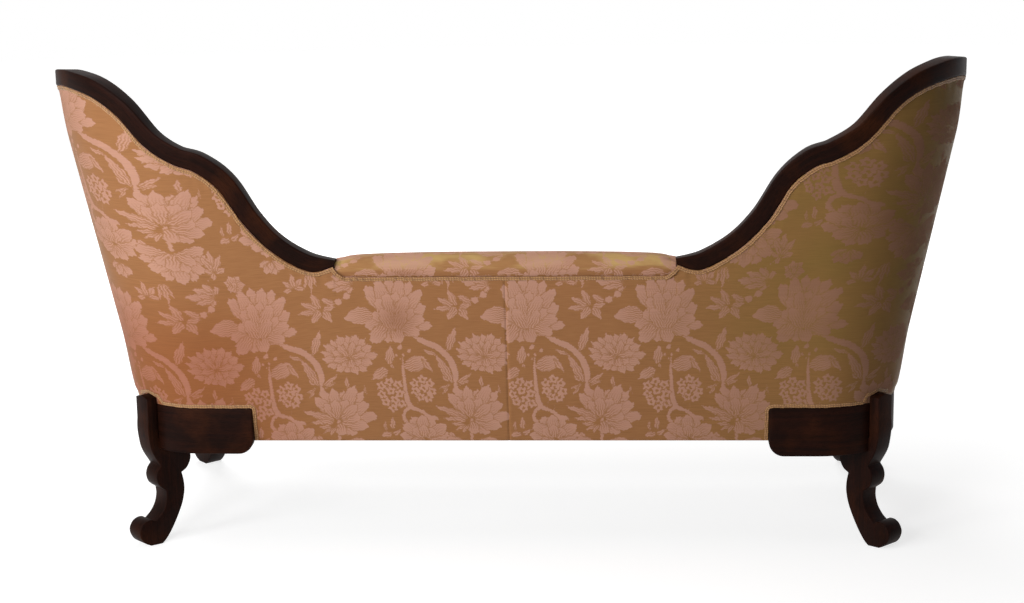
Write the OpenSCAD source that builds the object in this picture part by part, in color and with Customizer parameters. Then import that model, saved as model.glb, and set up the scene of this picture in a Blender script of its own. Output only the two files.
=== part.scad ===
// Fainting couch with a low padded back and two high curved ends.
// The body stands on a rounded rectangular base and leans outward by the same
// angle all round, so its sides are planes and its corners are parts of cones.
// X runs along the couch, +Y is its back and the floor is at z = 0.
// The origin is on the floor under the middle of the bounding box.
// A place on the body is given by three lengths: s along the base line from the
// middle of the back, z above the floor, and d outward from the fabric's face.

/* [Base] */
// Length of the body at the lower edge of its rails
base_length = 1500; // [1360:10:1640]
// Depth of the body at the lower edge of its rails
base_depth = 616; // [572:2:680]
// Radius of the body's corners there
corner_r = 150; // [136:2:164]
// Lean of the body from upright, in degrees
lean = 11.7; // [9:0.1:14]
// Height of the lower edge of the rails
rail_z = 220; // [200:2:240]
// Height of a seat rail
rail_h = 80; // [64:2:92]
// Thickness of a seat rail
rail_t = 31; // [24:1:38]

/* [Corner blocks and legs] */
// Thickness of a corner block
block_t = 25; // [18:1:32]
// How far a corner block stands out from the base line
block_proud = 18; // [14:1:22]
// Height of a corner block's upper edge above the rails' lower edge
block_up = 70; // [56:1:78]
// How far a corner block hangs below the rails
block_drop = 23; // [14:1:30]
// How far the block hangs below the rails on the end side of its leg
block_end_drop = 8; // [4:1:12]
// Length of a corner block past the corner's curve
block_reach = 93; // [70:1:110]
// Radius of a corner block's lower inner corner
block_round = 24; // [12:1:28]
// Thickness of a leg's board
leg_t = 42; // [34:1:50]
// Distance from the corner's centre to the leg's inner edge
leg_in_r = 96; // [88:1:104]
// Distance from the corner's centre to the tip of the foot
leg_out_r = 222; // [210:1:234]
// How far the leg's cheek covers the fabric above its block
leg_cheek = 15; // [8:1:20]
// Thickness of the cheek where it stands out most from its block
leg_cheek_t = 23; // [18:1:28]
// Diameter of the bolt that holds a leg
bolt_d = 8; // [6:0.5:10]

/* [Crest rail] */
// Height of the crest's middle line beside the roll
crest_low_z = 583; // [560:1:610]
// Height of the crest's middle line at its peaks
crest_peak_z = 947; // [900:1:980]
// Width of the crest rail's face
crest_face = 34; // [28:1:40]
// Thickness of the crest rail
crest_t = 34; // [28:1:40]

/* [Back roll] */
// Length of the padded roll on the back
roll_length = 634; // [560:2:660]
// Height of the roll
roll_h = 35; // [28:1:44]
// Height of the roll's lower edge
roll_z = 564; // [548:1:566]
// Thickness of the roll from back to front
roll_t = 88; // [74:1:100]
// How far the roll stands out behind the fabric
roll_proud = 6; // [3:1:9]

/* [Upholstery] */
// Thickness of the outside cover and its lining
cover_t = 3; // [2:0.5:4]
// Height of the tacking rail and two thirds of a post's width
frame_h = 30; // [24:1:36]
// How far an inside pad laps onto the crest's inner face
pad_lap = 8; // [4:1:12]
// Thickness of an inside pad at its edge
pad_edge = 9; // [6:1:12]
// Extra thickness of an inside pad at its middle
pad_crown = 26; // [16:1:34]
// Height of the seat's highest point
seat_top_z = 432; // [416:1:448]
// Crown of the seat above its rounded edge
seat_crown = 22; // [12:1:32]
// Width of the gimp braid
gimp_w = 7; // [5:0.5:9]
// Thickness of the gimp braid
gimp_t = 1.7; // [1.2:0.1:1.8]
// Number of springs along the seat
spring_count = 6; // [4:1:7]
// Wire diameter of a seat spring
spring_wire = 4; // [3:0.5:5]
// Outer radius of a seat spring
spring_r = 44; // [34:1:50]

/* [Hidden] */

// Clearance between curved or soft pieces that lie against each other
gap = 0.3;
// One overrun for all cuts
over = 1;
// Thickness of the burlap over the springs
burlap_t = 1.5;
$fn = 96;

// Plan of the base line: straight back, corner, end, corner, straight front
half_l = base_length / 2;
half_d = base_depth / 2;
back_half = half_l - corner_r;
end_half = half_d - corner_r;
arc = corner_r * PI / 2;
s_corner = back_half;
s_end = s_corner + arc;
s_front_corner = s_end + 2 * end_half;
s_front = s_front_corner + arc;
s_middle = s_front + back_half;
tan_lean = tan(lean);
slope = 1 / cos(lean);

// The corner block's ends along the base line, rear block then front block
s_block_1 = s_corner - block_reach;
s_block_2 = s_end + min(block_reach, end_half - block_round);
s_block_3 = s_front_corner - min(block_reach, end_half - block_round);
s_block_4 = s_front + block_reach;
end_reach = s_block_2 - s_end;
block_in = block_t - block_proud;
block_top_z = rail_z + block_up;
rail_top_z = rail_z + rail_h;
tack_rail_z = rail_top_z + 3 * frame_h;
seat_edge_z = seat_top_z - seat_crown;

// Where fabric, frame and pads lie, outward from the fabric's face
frame_out = -cover_t - gap;
frame_in = -crest_t;
pad_out = frame_in - 2 * gap;

// Place of a point on the base line and the outward direction there
function plan_right(s) =
    s <= s_corner ? [[s, half_d], [0, 1]] :
    s <= s_end ? let (a = 90 * (s - s_corner) / arc)
        [[back_half + corner_r * sin(a), end_half + corner_r * cos(a)], [sin(a), cos(a)]] :
    s <= s_front_corner ? [[half_l, end_half - (s - s_end)], [1, 0]] :
    s <= s_front ? let (a = 90 * (s - s_front_corner) / arc)
        [[back_half + corner_r * cos(a), -end_half - corner_r * sin(a)], [cos(a), -sin(a)]] :
    [[back_half - (s - s_front), -half_d], [0, -1]];
function flipped(p) = [[-p[0].x, p[0].y], [-p[1].x, p[1].y]];
function plan(s) =
    s < 0 ? flipped(plan_right(-s)) :
    s > s_middle ? flipped(plan_right(2 * s_middle - s)) : plan_right(s);

// Point of the leaning body, with the lean taken at height lean_z
function body_point(s, z, d, lean_z) =
    let (p = plan(s), q = p[0] + p[1] * ((lean_z - rail_z) * tan_lean + d)) [q.x, q.y, z];
function shell(s, z, d) = body_point(s, z, d, z);

// How much the leaning body is longer than the base line at height z
function in_curve(s) = (s > s_corner && s < s_end) || s > s_front_corner;
function stretch(s, z) = in_curve(s) ? 1 + (z - rail_z) * tan_lean / corner_r : 1;

// Smooth curve through points, steps to a span
function spline_at(p, q, r, w, t) =
    0.5 * (2 * q + (r - p) * t + (2 * p - 5 * q + 4 * r - w) * t * t + (3 * q - p - 3 * r + w) * t * t * t);
function spline(k, steps) = let (n = len(k)) concat(
    [for (i = [0 : n - 2]) for (j = [0 : steps - 1])
        spline_at(i > 0 ? k[i - 1] : 2 * k[0] - k[1], k[i], k[i + 1],
            i + 2 < n ? k[i + 2] : 2 * k[n - 1] - k[n - 2], j / steps)],
    [k[n - 1]]);

// Length w along the crest: as s, but longer in the corners, as the body is at this height
crest_mid_z = (crest_low_z + 2 * crest_peak_z) / 3;
corner_stretch = 1 + (crest_mid_z - rail_z) * tan_lean / corner_r;
arc_w = arc * corner_stretch;
w_end = s_corner + arc_w;
w_front_corner = w_end + 2 * end_half;
function s_at(w) = w <= s_corner ? w : w <= w_end ? s_corner + (w - s_corner) / corner_stretch :
    w <= w_front_corner ? s_end + w - w_end : s_front_corner + (w - w_front_corner) / corner_stretch;

// Middle line of the crest, as shares of each stretch and of the rise
crest_s0 = roll_length / 2 + over;
crest_rise = crest_peak_z - crest_low_z;
crest_fall = crest_peak_z - block_top_z;
crest_back_shares = [[0, 0], [0.202, 0.022], [0.397, 0.112], [0.574, 0.266], [0.734, 0.45], [0.894, 0.557]];
crest_corner_shares = [[0.026, 0.607], [0.144, 0.7], [0.263, 0.86], [0.39, 0.955], [0.543, 0.995],
    [0.68, 1], [0.84, 0.98], [1, 0.942]];
crest_end_shares = [[0.22, 0.944], [0.475, 0.917], [0.71, 0.88], [0.885, 0.832]];
crest_scroll_shares = [[0.028, 0.768], [0.172, 0.677], [0.27, 0.563], [0.342, 0.427], [0.389, 0.29],
    [0.414, 0.15], [0.422, 0]];
crest_knots = concat(
    [for (k = crest_back_shares) [crest_s0 + k[0] * (s_corner - crest_s0), crest_low_z + k[1] * crest_rise]],
    [for (k = crest_corner_shares) [s_corner + k[0] * arc_w, crest_low_z + k[1] * crest_rise]],
    [for (k = crest_end_shares) [w_end + k[0] * 2 * end_half, block_top_z + k[1] * crest_fall]],
    [for (k = crest_scroll_shares) [w_front_corner + k[0] * arc_w, block_top_z + k[1] * crest_fall]]);
crest_steps = 4;
crest_line = spline(crest_knots, crest_steps);
crest_last = len(crest_line) - 1;
// Indices along the line where one crest piece meets the next
crest_joint_1 = (len(crest_back_shares) - 1) * crest_steps;
crest_joint_2 = (len(crest_back_shares) + len(crest_corner_shares) - 1) * crest_steps;
crest_joint_3 = (len(crest_back_shares) + len(crest_corner_shares) + len(crest_end_shares) - 1) * crest_steps;

// Point beside the crest's middle line, h upward across it on the body's face
function crest_way(i) = crest_line[min(i + 1, crest_last)] - crest_line[max(i - 1, 0)];
function crest_side(i, h) =
    let (p = crest_line[i], way = crest_way(i), s = s_at(p[0]),
        k = in_curve(s) ? stretch(s, p[1]) / corner_stretch : 1,
        a = [way[0] * k, way[1] * slope], n = [-a[1], a[0]] / norm(a))
    i == crest_last ? [s_at(p[0] - h / k), p[1]] : [s_at(p[0] + n[0] * h / k), p[1] + n[1] * h / slope];
// The crest is sawn upright round the corners and ends, and leans along the back
upright_from = s_corner - corner_r / 2;
function upright(s) = max(0, min(1, (s - upright_from) / corner_r));
function crest_point(i, h, d) =
    let (p = crest_side(i, h), z = crest_line[i][1], u = upright(s_at(crest_line[i][0])))
    body_point(p[0], p[1], d, p[1] + u * (z - p[1]));

// Line along the crest's lower part, up to the last place where a cover is still this tall
cover_stop_h = block_up;
function line_below(h) = let (line = [for (i = [0 : crest_last]) crest_side(i, h)],
    stop = max([for (p = line) p[1] > block_top_z + cover_stop_h ? p[0] : 0]))
    [for (p = line) if (p[0] <= stop) p];
// Covers and posts end under the crest, and the pads lap onto its inner face
under_table = line_below(-crest_face / 2);
lap_table = line_below(pad_lap - crest_face / 2);
tip_s = crest_s0 + crest_face / 2;
function line_z(s, table) = let (a = abs(s)) (a < tip_s ? roll_z : lookup(a, table)) - gap;
function top_z(s) = line_z(s, under_table);
function lap_z(s) = line_z(s, lap_table);
under_s = [for (p = under_table) if (p[0] > tip_s) p[0]];
lap_s = [for (p = lap_table) if (p[0] > tip_s) p[0]];

// Leg profile in the upright plane through the corner, [distance, height]
leg_neck_r = leg_in_r + block_t / 3;
leg_face_r = corner_r + block_proud + gap;
bolt_bite = leg_t / 3;
// The foot's shares are of the leg's whole span, those from the knuckle up follow the cheek
leg_foot_span = leg_out_r - leg_in_r;
leg_cheek_share = 0.757;
leg_top_span = (leg_face_r + leg_cheek_t - leg_in_r) / leg_cheek_share;
leg_foot_share = 0.25;
leg_knee_share = 0.5;
function leg_span(z_share) = let (w = (z_share - leg_foot_share) / (leg_knee_share - leg_foot_share))
    leg_foot_span + max(0, min(1, w)) * (leg_top_span - leg_foot_span);
leg_cheek_top = block_top_z + leg_cheek;
leg_cheek_shares = [[0.746, 1.386], [0.746, 1.19], [leg_cheek_share, 1.09], [0.738, 0.98], [0.69, 0.87], [0.556, 0.735]];
leg_knuckle_shares = [[0.556, 0.735], [0.62, 0.69], [0.645, 0.627], [0.605, 0.555], [0.484, 0.495]];
leg_shin_shares = [[0.484, 0.495], [0.48, 0.42], [0.525, 0.335], [0.615, 0.265], [0.71, 0.222]];
leg_scroll_shares = [[0.71, 0.222], [0.775, 0.245], [0.87, 0.243], [0.95, 0.215], [1, 0.16], [0.985, 0.1],
    [0.915, 0.04], [0.79, 0]];
leg_inner_shares = [[0.6, 0], [0.515, 0.04], [0.4, 0.125], [0.28, 0.24], [0.19, 0.35], [0.145, 0.46],
    [0.15, 0.55], [0.18, 0.632]];
leg_lobe_shares = [[0.18, 0.632], [0.08, 0.665], [0.01, 0.73], [0, 0.79], [0.035, 0.85]];
leg_steps = 4;
function leg_curve(k) = spline([for (p = k) [leg_in_r + p[0] * leg_span(p[1]), p[1] * rail_z]], leg_steps);
leg_cheek_curve = leg_curve([for (i = [1 : len(leg_cheek_shares) - 1]) leg_cheek_shares[i]]);
leg_profile = concat(
    [[leg_neck_r, rail_z], [leg_face_r, rail_z], [leg_face_r, leg_cheek_top],
        [leg_cheek_curve[0][0], leg_cheek_top]],
    leg_cheek_curve, leg_curve(leg_knuckle_shares), leg_curve(leg_shin_shares),
    leg_curve(leg_scroll_shares), leg_curve(leg_inner_shares), leg_curve(leg_lobe_shares),
    [[leg_neck_r, rail_z - block_drop / 2]]);

// Reach of the couch to the front and to the back, and the shift that centres it on the origin
leg_profile_max = max([for (p = leg_profile) p[0]]);
front_reach = max(half_d + block_proud, end_half + (leg_profile_max + leg_t / 2) * cos(45));
rear_reach = max([for (i = [0 : crest_last]) for (h = [-1, 1]) crest_point(i, h * crest_face / 2, 0).y]);
y_shift = (front_reach - rear_reach) / 2;

wood = "#3a1f16";
frame_wood = "#a9825a";
fabric = "#b58b75";
fabric_gold = "#a9855c";
braid = "#b08a55";
cloth = "#2b2724";
jute = "#a58c62";
metal = "#8d8f92";

// Moves a piece from the base's middle to the origin
module at_base() translate([0, y_shift, 0]) children();
// Mirrors a piece to the side where x has the sign sx and y the sign sy
module side(sx, sy) scale_mirror(sx, [1, 0, 0]) scale_mirror(sy, [0, 1, 0]) children();
module scale_mirror(sign, way) if (sign < 0) mirror(way) children(); else children();
// Puts a piece at the corner's centre, seen as the corner at +x and +y
module corner(sx, sy) at_base() side(sx, sy) translate([back_half, end_half, 0]) children();

// Solid between two grids of points; keep(i, j) says which cells it has
function quad(a, b, c, d) = [[a, b, c], [a, c, d]];
function slab_faces(m, n, cells) =
    let (at = function (i, j, k) (i * n + j) * 2 + k,
        has = function (i, j) i >= 0 && j >= 0 && i < m - 1 && j < n - 1 && cells[i][j])
    [for (i = [0 : m - 2]) for (j = [0 : n - 2]) if (has(i, j)) each concat(
        quad(at(i, j, 1), at(i, j + 1, 1), at(i + 1, j + 1, 1), at(i + 1, j, 1)),
        quad(at(i, j, 0), at(i + 1, j, 0), at(i + 1, j + 1, 0), at(i, j + 1, 0)),
        has(i - 1, j) ? [] : quad(at(i, j, 1), at(i, j, 0), at(i, j + 1, 0), at(i, j + 1, 1)),
        has(i + 1, j) ? [] : quad(at(i + 1, j, 0), at(i + 1, j, 1), at(i + 1, j + 1, 1), at(i + 1, j + 1, 0)),
        has(i, j - 1) ? [] : quad(at(i, j, 0), at(i, j, 1), at(i + 1, j, 1), at(i + 1, j, 0)),
        has(i, j + 1) ? [] : quad(at(i, j + 1, 1), at(i, j + 1, 0), at(i + 1, j + 1, 0), at(i + 1, j + 1, 1)))];
// columns: places along the base line; rows: heights at a place; thick: depths at a cell corner
module slab(columns, row_count, row, inner, outer, keep) {
    m = len(columns);
    points = [for (i = [0 : m - 1]) for (j = [0 : row_count - 1])
        let (s = columns[i], z = row(s, j))
        each [shell(s, z, inner(s, j)), shell(s, z, outer(s, j))]];
    cells = [for (i = [0 : m - 2]) [for (j = [0 : row_count - 2])
        keep((columns[i] + columns[i + 1]) / 2, j)]];
    at_base() polyhedron(points, slab_faces(m, row_count, cells), convexity = 6);
}
// A block's height range over the base line
function by_block(s) = let (a = abs(s))
    (a > s_block_1 && a < s_block_2) || (a > s_block_3 && a < s_block_4);
function with_step(list, v) =
    concat([for (x = list) if (x < v - over) x], [v], [for (x = list) if (x > v + over) x]);
function even(a, b, n) = [for (i = [0 : n]) a + (b - a) * i / n];

// Seat rails: a plain bar, thicker between the blocks to meet the leaning cover
module seat_rail(half_span, half_outer, free_half) {
    bar = [[half_outer - block_in - rail_t, rail_z], [half_outer - block_in, rail_z],
        [half_outer - block_in, rail_top_z], [half_outer - block_in - rail_t, rail_top_z]];
    facing = [[half_outer - block_in - rail_t / 2, rail_z], [half_outer + frame_out, rail_z],
        [half_outer + frame_out + rail_h * tan_lean, rail_top_z],
        [half_outer - block_in - rail_t / 2, rail_top_z]];
    color(frame_wood) {
        translate([-half_span, 0, 0]) rotate([90, 0, 90]) linear_extrude(2 * half_span) polygon(bar);
        translate([-free_half, 0, 0]) rotate([90, 0, 90]) linear_extrude(2 * free_half) polygon(facing);
    }
}
module back_seat_rail() at_base() seat_rail(back_half, half_d, s_block_1 - gap);
module front_seat_rail() at_base() side(1, -1) seat_rail(back_half, half_d, s_block_1 - gap);
module end_rail(sx) at_base() side(sx, 1) rotate([0, 0, -90])
    seat_rail(end_half, half_l, end_half - end_reach - gap);
module end_seat_rail_l() end_rail(1);
module end_seat_rail_r() end_rail(-1);

// Outline of a block's straight part with its rounded free corners
block_small_round = block_round / 4;
module block_plate(length, low) {
    height = block_top_z - low;
    translate([-length, block_proud + corner_r, low]) rotate([90, 0, 0]) linear_extrude(block_t)
        difference() {
            square([length, height]);
            difference() {
                translate([-over, -over]) square(block_round + over);
                translate([block_round, block_round]) circle(block_round);
            }
            difference() {
                translate([-over, height - block_small_round]) square(block_small_round + over);
                translate([block_small_round, height - block_small_round]) circle(block_small_round);
            }
        }
}
// Corner block: a quarter ring with a straight part each way
module corner_block(sx, sy) color(wood) corner(sx, sy) difference() {
    union() {
        block_plate(block_reach, rail_z - block_drop);
        mirror([1, -1, 0]) block_plate(end_reach, rail_z - block_end_drop);
        translate([0, 0, rail_z - block_drop]) rotate_extrude(angle = 90)
            translate([corner_r - block_in, 0]) square([block_t, block_up + block_drop]);
    }
    // Higher lower edge from the leg to the end side
    rotate([0, 0, 45]) translate([0, -corner_r - leg_out_r - leg_t / 2, rail_z - block_drop - over])
        cube([corner_r + leg_out_r, corner_r + leg_out_r, block_drop - block_end_drop + over]);
    leg_bore(bolt_d + 2 * gap);
}
module leg_bore(d) rotate([0, 0, 45]) translate([0, 0, rail_z + block_up / 2]) rotate([0, 90, 0])
    cylinder(h = leg_face_r + bolt_bite, d = d);
module rear_corner_block_l() corner_block(1, 1);
module rear_corner_block_r() corner_block(-1, 1);
module front_corner_block_l() corner_block(1, -1);
module front_corner_block_r() corner_block(-1, -1);

// Brace inside the corner, between the ends of two seat rails
brace_in_r = corner_r - block_in - 2.3 * rail_t;
module corner_brace(sx, sy) color(frame_wood) corner(sx, sy) difference() {
    translate([0, 0, rail_z]) rotate_extrude(angle = 90)
        translate([brace_in_r, 0]) square([corner_r - block_in - brace_in_r, block_up]);
    leg_bore(bolt_d + 2 * gap);
}
module rear_corner_brace_l() corner_brace(1, 1);
module rear_corner_brace_r() corner_brace(-1, 1);
module front_corner_brace_l() corner_brace(1, -1);
module front_corner_brace_r() corner_brace(-1, -1);

// Leg: a sawn board across the corner, slotted over the block
module leg(sx, sy) color(wood) corner(sx, sy) difference() {
    rotate([0, 0, 45]) translate([0, leg_t / 2, 0]) rotate([90, 0, 0])
        linear_extrude(leg_t) polygon(leg_profile);
    translate([0, 0, rail_z - block_drop]) rotate_extrude()
        translate([corner_r - block_in - gap, 0]) square([block_t + 2 * gap, 2 * block_up + block_drop]);
    leg_bore(bolt_d);
}
module rear_leg_l() leg(1, 1);
module rear_leg_r() leg(-1, 1);
module front_leg_l() leg(1, -1);
module front_leg_r() leg(-1, -1);

// Bolt through the brace and block into the leg's cheek, its head on the brace's curved face
bolt_head_d = 2 * bolt_d;
bolt_head_t = 0.7 * bolt_d;
bolt_head_r = sqrt(pow(brace_in_r, 2) - pow(bolt_head_d / 2, 2));
module leg_bolt(sx, sy) color(metal) corner(sx, sy) rotate([0, 0, 45])
    translate([0, 0, rail_z + block_up / 2]) rotate([0, 90, 0]) {
        translate([0, 0, bolt_head_r - bolt_head_t]) cylinder(h = bolt_head_t, d = bolt_head_d);
        translate([0, 0, bolt_head_r - over]) cylinder(h = leg_face_r + bolt_bite - gap - bolt_head_r + over,
            d = bolt_d - gap);
    }
module rear_leg_bolt_l() leg_bolt(1, 1);
module rear_leg_bolt_r() leg_bolt(-1, 1);
module front_leg_bolt_l() leg_bolt(1, -1);
module front_leg_bolt_r() leg_bolt(-1, -1);

// Strip that follows the crest line, between h0 and h1 across it and d0 and d1 in depth
module strip(i0, i1, h0, h1, d0, d1, sx) {
    n = i1 - i0;
    points = [for (i = [i0 : i1]) each [crest_point(i, h0, d0), crest_point(i, h1, d0),
        crest_point(i, h1, d1), crest_point(i, h0, d1)]];
    faces = concat(quad(0, 1, 2, 3), quad(4 * n + 3, 4 * n + 2, 4 * n + 1, 4 * n),
        [for (i = [0 : n - 1]) for (k = [0 : 3]) let (a = 4 * i + k, b = 4 * i + (k + 1) % 4)
            each quad(a, a + 4, b + 4, b)]);
    at_base() side(sx, 1) polyhedron(points, faces, convexity = 6);
}
module crest(i0, i1, sx) color(wood)
    strip(i0, i1, -crest_face / 2, crest_face / 2, -crest_t, 0, sx);
module crest_back_l() crest(0, crest_joint_1, 1);
module crest_back_r() crest(0, crest_joint_1, -1);
module crest_corner_l() crest(crest_joint_1, crest_joint_2, 1);
module crest_corner_r() crest(crest_joint_1, crest_joint_2, -1);
module crest_end_l() crest(crest_joint_2, crest_joint_3, 1);
module crest_end_r() crest(crest_joint_2, crest_joint_3, -1);
module crest_scroll_l() crest(crest_joint_3, crest_last, 1);
module crest_scroll_r() crest(crest_joint_3, crest_last, -1);

// Frame members between the covers, all leaning with the body
post_w = 1.5 * frame_h;
top_rail_h = 1.2 * frame_h;
module lean_bar(x0, x1, z0, z1) color(frame_wood) at_base() translate([x0, 0, 0]) rotate([90, 0, 90])
    linear_extrude(x1 - x0) polygon([for (c = [[z0, frame_in], [z0, frame_out], [z1, frame_out], [z1, frame_in]])
        [half_d + (c[0] - rail_z) * tan_lean + c[1], c[0]]]);
module member(s0, s1, z0, sx) color(frame_wood) side(sx, 1) slab(even(s0, s1, 3), 2,
    function (s, j) j == 0 ? z0 : top_z(s), function (s, j) frame_in, function (s, j) frame_out,
    function (s, j) true);
post_s = tip_s;
module back_top_rail() lean_bar(-post_s, post_s, roll_z - top_rail_h, roll_z);
module back_tack_rail() lean_bar(-post_s, post_s, tack_rail_z, tack_rail_z + frame_h);
module back_post_l() member(post_s + gap, post_s + post_w, rail_top_z, 1);
module back_post_r() member(post_s + gap, post_s + post_w, rail_top_z, -1);
corner_post_s = s_corner + arc / 2 - post_w / 3;
module corner_post_l() member(corner_post_s, corner_post_s + post_w * 2 / 3, block_top_z, 1);
module corner_post_r() member(corner_post_s, corner_post_s + post_w * 2 / 3, block_top_z, -1);
end_post_s = s_end + end_half - post_w / 2;
module end_post_l() member(end_post_s, end_post_s + post_w, rail_top_z, 1);
module end_post_r() member(end_post_s, end_post_s + post_w, rail_top_z, -1);

// Outside cover of one half, with steps over the corner blocks
cover_columns = with_step(with_step(with_step(concat([0, crest_s0 / 2, crest_s0], under_s),
    s_block_1), s_block_2), s_block_3);
module outside_cover(sx) color(fabric) side(sx, 1) slab(cover_columns, 3,
    function (s, j) [rail_z, block_top_z + gap, top_z(s)][j],
    function (s, j) -cover_t, function (s, j) 0,
    function (s, j) j > 0 || !by_block(s));
module outside_cover_l() outside_cover(1);
module outside_cover_r() outside_cover(-1);

// Fabric border of the front rail, from one crest's foot to the other
border_s = s_front_corner + arc / 2 + crest_face / 4;
border_columns = with_step(with_step(concat(even(border_s, s_front, 6), [s_middle],
    even(2 * s_middle - s_front, 2 * s_middle - border_s, 6)), s_block_4), 2 * s_middle - s_block_4);
module front_border() color(fabric) slab(border_columns, 3,
    function (s, j) [rail_z, block_top_z + gap, rail_top_z][j],
    function (s, j) -cover_t, function (s, j) 0,
    function (s, j) j > 0 || !by_block(s > s_middle ? 2 * s_middle - s : s));

// Inside pads: flat behind the seat, full above it and drawn in along their edges
pad_z = tack_rail_z - frame_h / 3;
pad_rows = 6;
function swell(t) = 1 - pow(abs(2 * t - 1), 3);
function pad_row(s, j) = j == 0 ? pad_z : seat_edge_z + (lap_z(s) - seat_edge_z) * (j - 1) / (pad_rows - 1);
function pad_thick(t, j) = pad_edge + (j == 0 ? 0 : pad_crown * swell(t) * swell((j - 1) / (pad_rows - 1)));
module pad(columns, s0, s1) color(fabric) slab(columns, pad_rows + 1,
    function (s, j) pad_row(s, j),
    function (s, j) pad_out - pad_thick((s - s0) / (s1 - s0), j), function (s, j) pad_out,
    function (s, j) true);
pad_seam_s = s_corner + arc / 12;
back_pad_side = [for (s = lap_s) if (s < pad_seam_s - crest_face / 4) s];
back_pad_columns = concat([-pad_seam_s], [for (i = [len(back_pad_side) - 1 : -1 : 0]) -back_pad_side[i]],
    even(-crest_s0, crest_s0, 8), back_pad_side, [pad_seam_s]);
module inside_back_pad() pad(back_pad_columns, -pad_seam_s, pad_seam_s);
// An end pad stops where the falling crest comes near the seat
end_pad_columns = concat([pad_seam_s + gap],
    [for (s = lap_s) if (s > pad_seam_s + crest_face / 4 && lap_z(s) > seat_edge_z + 2 * pad_edge) s]);
end_pad_stop = end_pad_columns[len(end_pad_columns) - 1];
module inside_end_pad(sx) side(sx, 1) pad(end_pad_columns, pad_seam_s + gap, end_pad_stop);
module inside_end_pad_l() inside_end_pad(1);
module inside_end_pad_r() inside_end_pad(-1);

// Solid through rings of points, closed by fans from the middles of its end rings
function middle(ring) = let (n = len(ring)) [for (c = [0 : 2]) [for (p = ring) p[c]] * [for (p = ring) 1 / n]];
module loft(rings) {
    n = len(rings[0]);
    last = len(rings) - 1;
    first_middle = len(rings) * n;
    faces = [for (k = [0 : n - 1]) let (next = (k + 1) % n) each concat(
        [[first_middle, next, k], [first_middle + 1, last * n + k, last * n + next]],
        [for (i = [0 : last - 1]) each quad(i * n + k, i * n + next, (i + 1) * n + next, (i + 1) * n + k)])];
    polyhedron(concat([for (r = rings) each r], [middle(rings[0]), middle(rings[last])]), faces,
        convexity = 4);
}

// Padded roll along the top of the low back, drawn in at both ends
roll_place_shares = [0, 0.35, 0.7, 0.85, 0.93, 0.98, 1];
roll_size_shares = [1, 1, 0.98, 0.93, 0.84, 0.68, 0.4];
roll_sides = 14;
roll_foot_share = 0.92;
function roll_ring(x, size) = [for (k = [0 : roll_sides])
    let (a = 180 * k / roll_sides, half_t = roll_t / 2 * (0.5 + size / 2), c = cos(a), v = sin(a),
        foot = min(1, roll_foot_share + v / 4), w = sign(c) * pow(abs(c), 0.7) * half_t * foot,
        z = roll_z + gap + roll_h * size * pow(v, 0.75))
    shell(x, z, roll_proud - roll_t / 2 + w)];
module back_roll() color(fabric_gold) at_base() loft([for (sx = [-1, 1])
    for (i = sx < 0 ? [len(roll_place_shares) - 1 : -1 : 0] : [1 : len(roll_place_shares) - 1])
        roll_ring(sx * roll_place_shares[i] * roll_length / 2, roll_size_shares[i])]);

// Seat: fills the space inside the pads and rounds over the front rail
seat_in = pad_out - pad_edge - 2 * gap;
seat_front_out = rail_h * tan_lean - over;
seat_blend_from = s_front_corner + arc * 0.5;
seat_blend_to = s_front_corner + arc * 0.85;
function smooth(t) = t <= 0 ? 0 : t >= 1 ? 1 : t * t * (3 - 2 * t);
function seat_offset(s, z) = let (inside = seat_in + (z - rail_z) * tan_lean)
    inside + smooth((s - seat_blend_from) / (seat_blend_to - seat_blend_from)) * (seat_front_out - inside);
seat_s = concat(even(0, s_corner, 6), [for (i = [1 : 7]) s_corner + arc * i / 7],
    [for (i = [1 : 3]) s_end + 2 * end_half * i / 3],
    [for (i = [1 : 10]) s_front_corner + arc * i / 10], [for (i = [1 : 6]) s_front + back_half * i / 6]);
// Shares of the seat's rise and insets from its widest outline
seat_side_shares = [[0, 1], [0.2, 0.25], [0.5, 0], [0.75, 0.3], [0.92, 1.1], [1, 2.4]];
seat_inset = 7;
seat_crown_shares = [[0.12, 0.45], [0.3, 0.75], [0.55, 0.93], [0.85, 1]];
seat_low_z = rail_top_z + burlap_t + 2 * gap;
function seat_half(inset, z) = [for (s = seat_s) let (p = plan(s), q = p[0] + p[1] * (seat_offset(s, z) - inset))
    [q.x, q.y, z]];
function closed_half(h) = concat(h, [for (i = [len(h) - 2 : -1 : 1]) [-h[i].x, h[i].y, h[i].z]]);
function seat_spine(p) = [max(-back_half, min(back_half, p.x)) * 0.8, 0];
function seat_ring(share) = [for (p = closed_half(seat_half(seat_inset * 2.4, seat_edge_z)))
    let (c = seat_spine(p)) [p.x + (c.x - p.x) * share[0], p.y + (c.y - p.y) * share[0],
        seat_edge_z + seat_crown * share[1]]];
module seat_pad() color(fabric) at_base() loft(concat(
    [for (k = seat_side_shares)
        closed_half(seat_half(seat_inset * k[1], seat_low_z + (seat_edge_z - seat_low_z) * k[0]))],
    [for (k = seat_crown_shares) seat_ring(k)]));

// Burlap over the springs, tacked on the rails' tops
burlap_in = block_in + rail_t / 2;
module base_plate(inset, z, t) translate([0, 0, z]) linear_extrude(t) {
    square([2 * back_half, 2 * (half_d - inset)], center = true);
    square([2 * (half_l - inset), 2 * end_half], center = true);
    for (sx = [-1, 1]) for (sy = [-1, 1]) translate([sx * back_half, sy * end_half])
        circle(corner_r - inset);
}
module seat_burlap() color(jute) at_base() base_plate(burlap_in, rail_top_z + gap, burlap_t);

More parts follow.
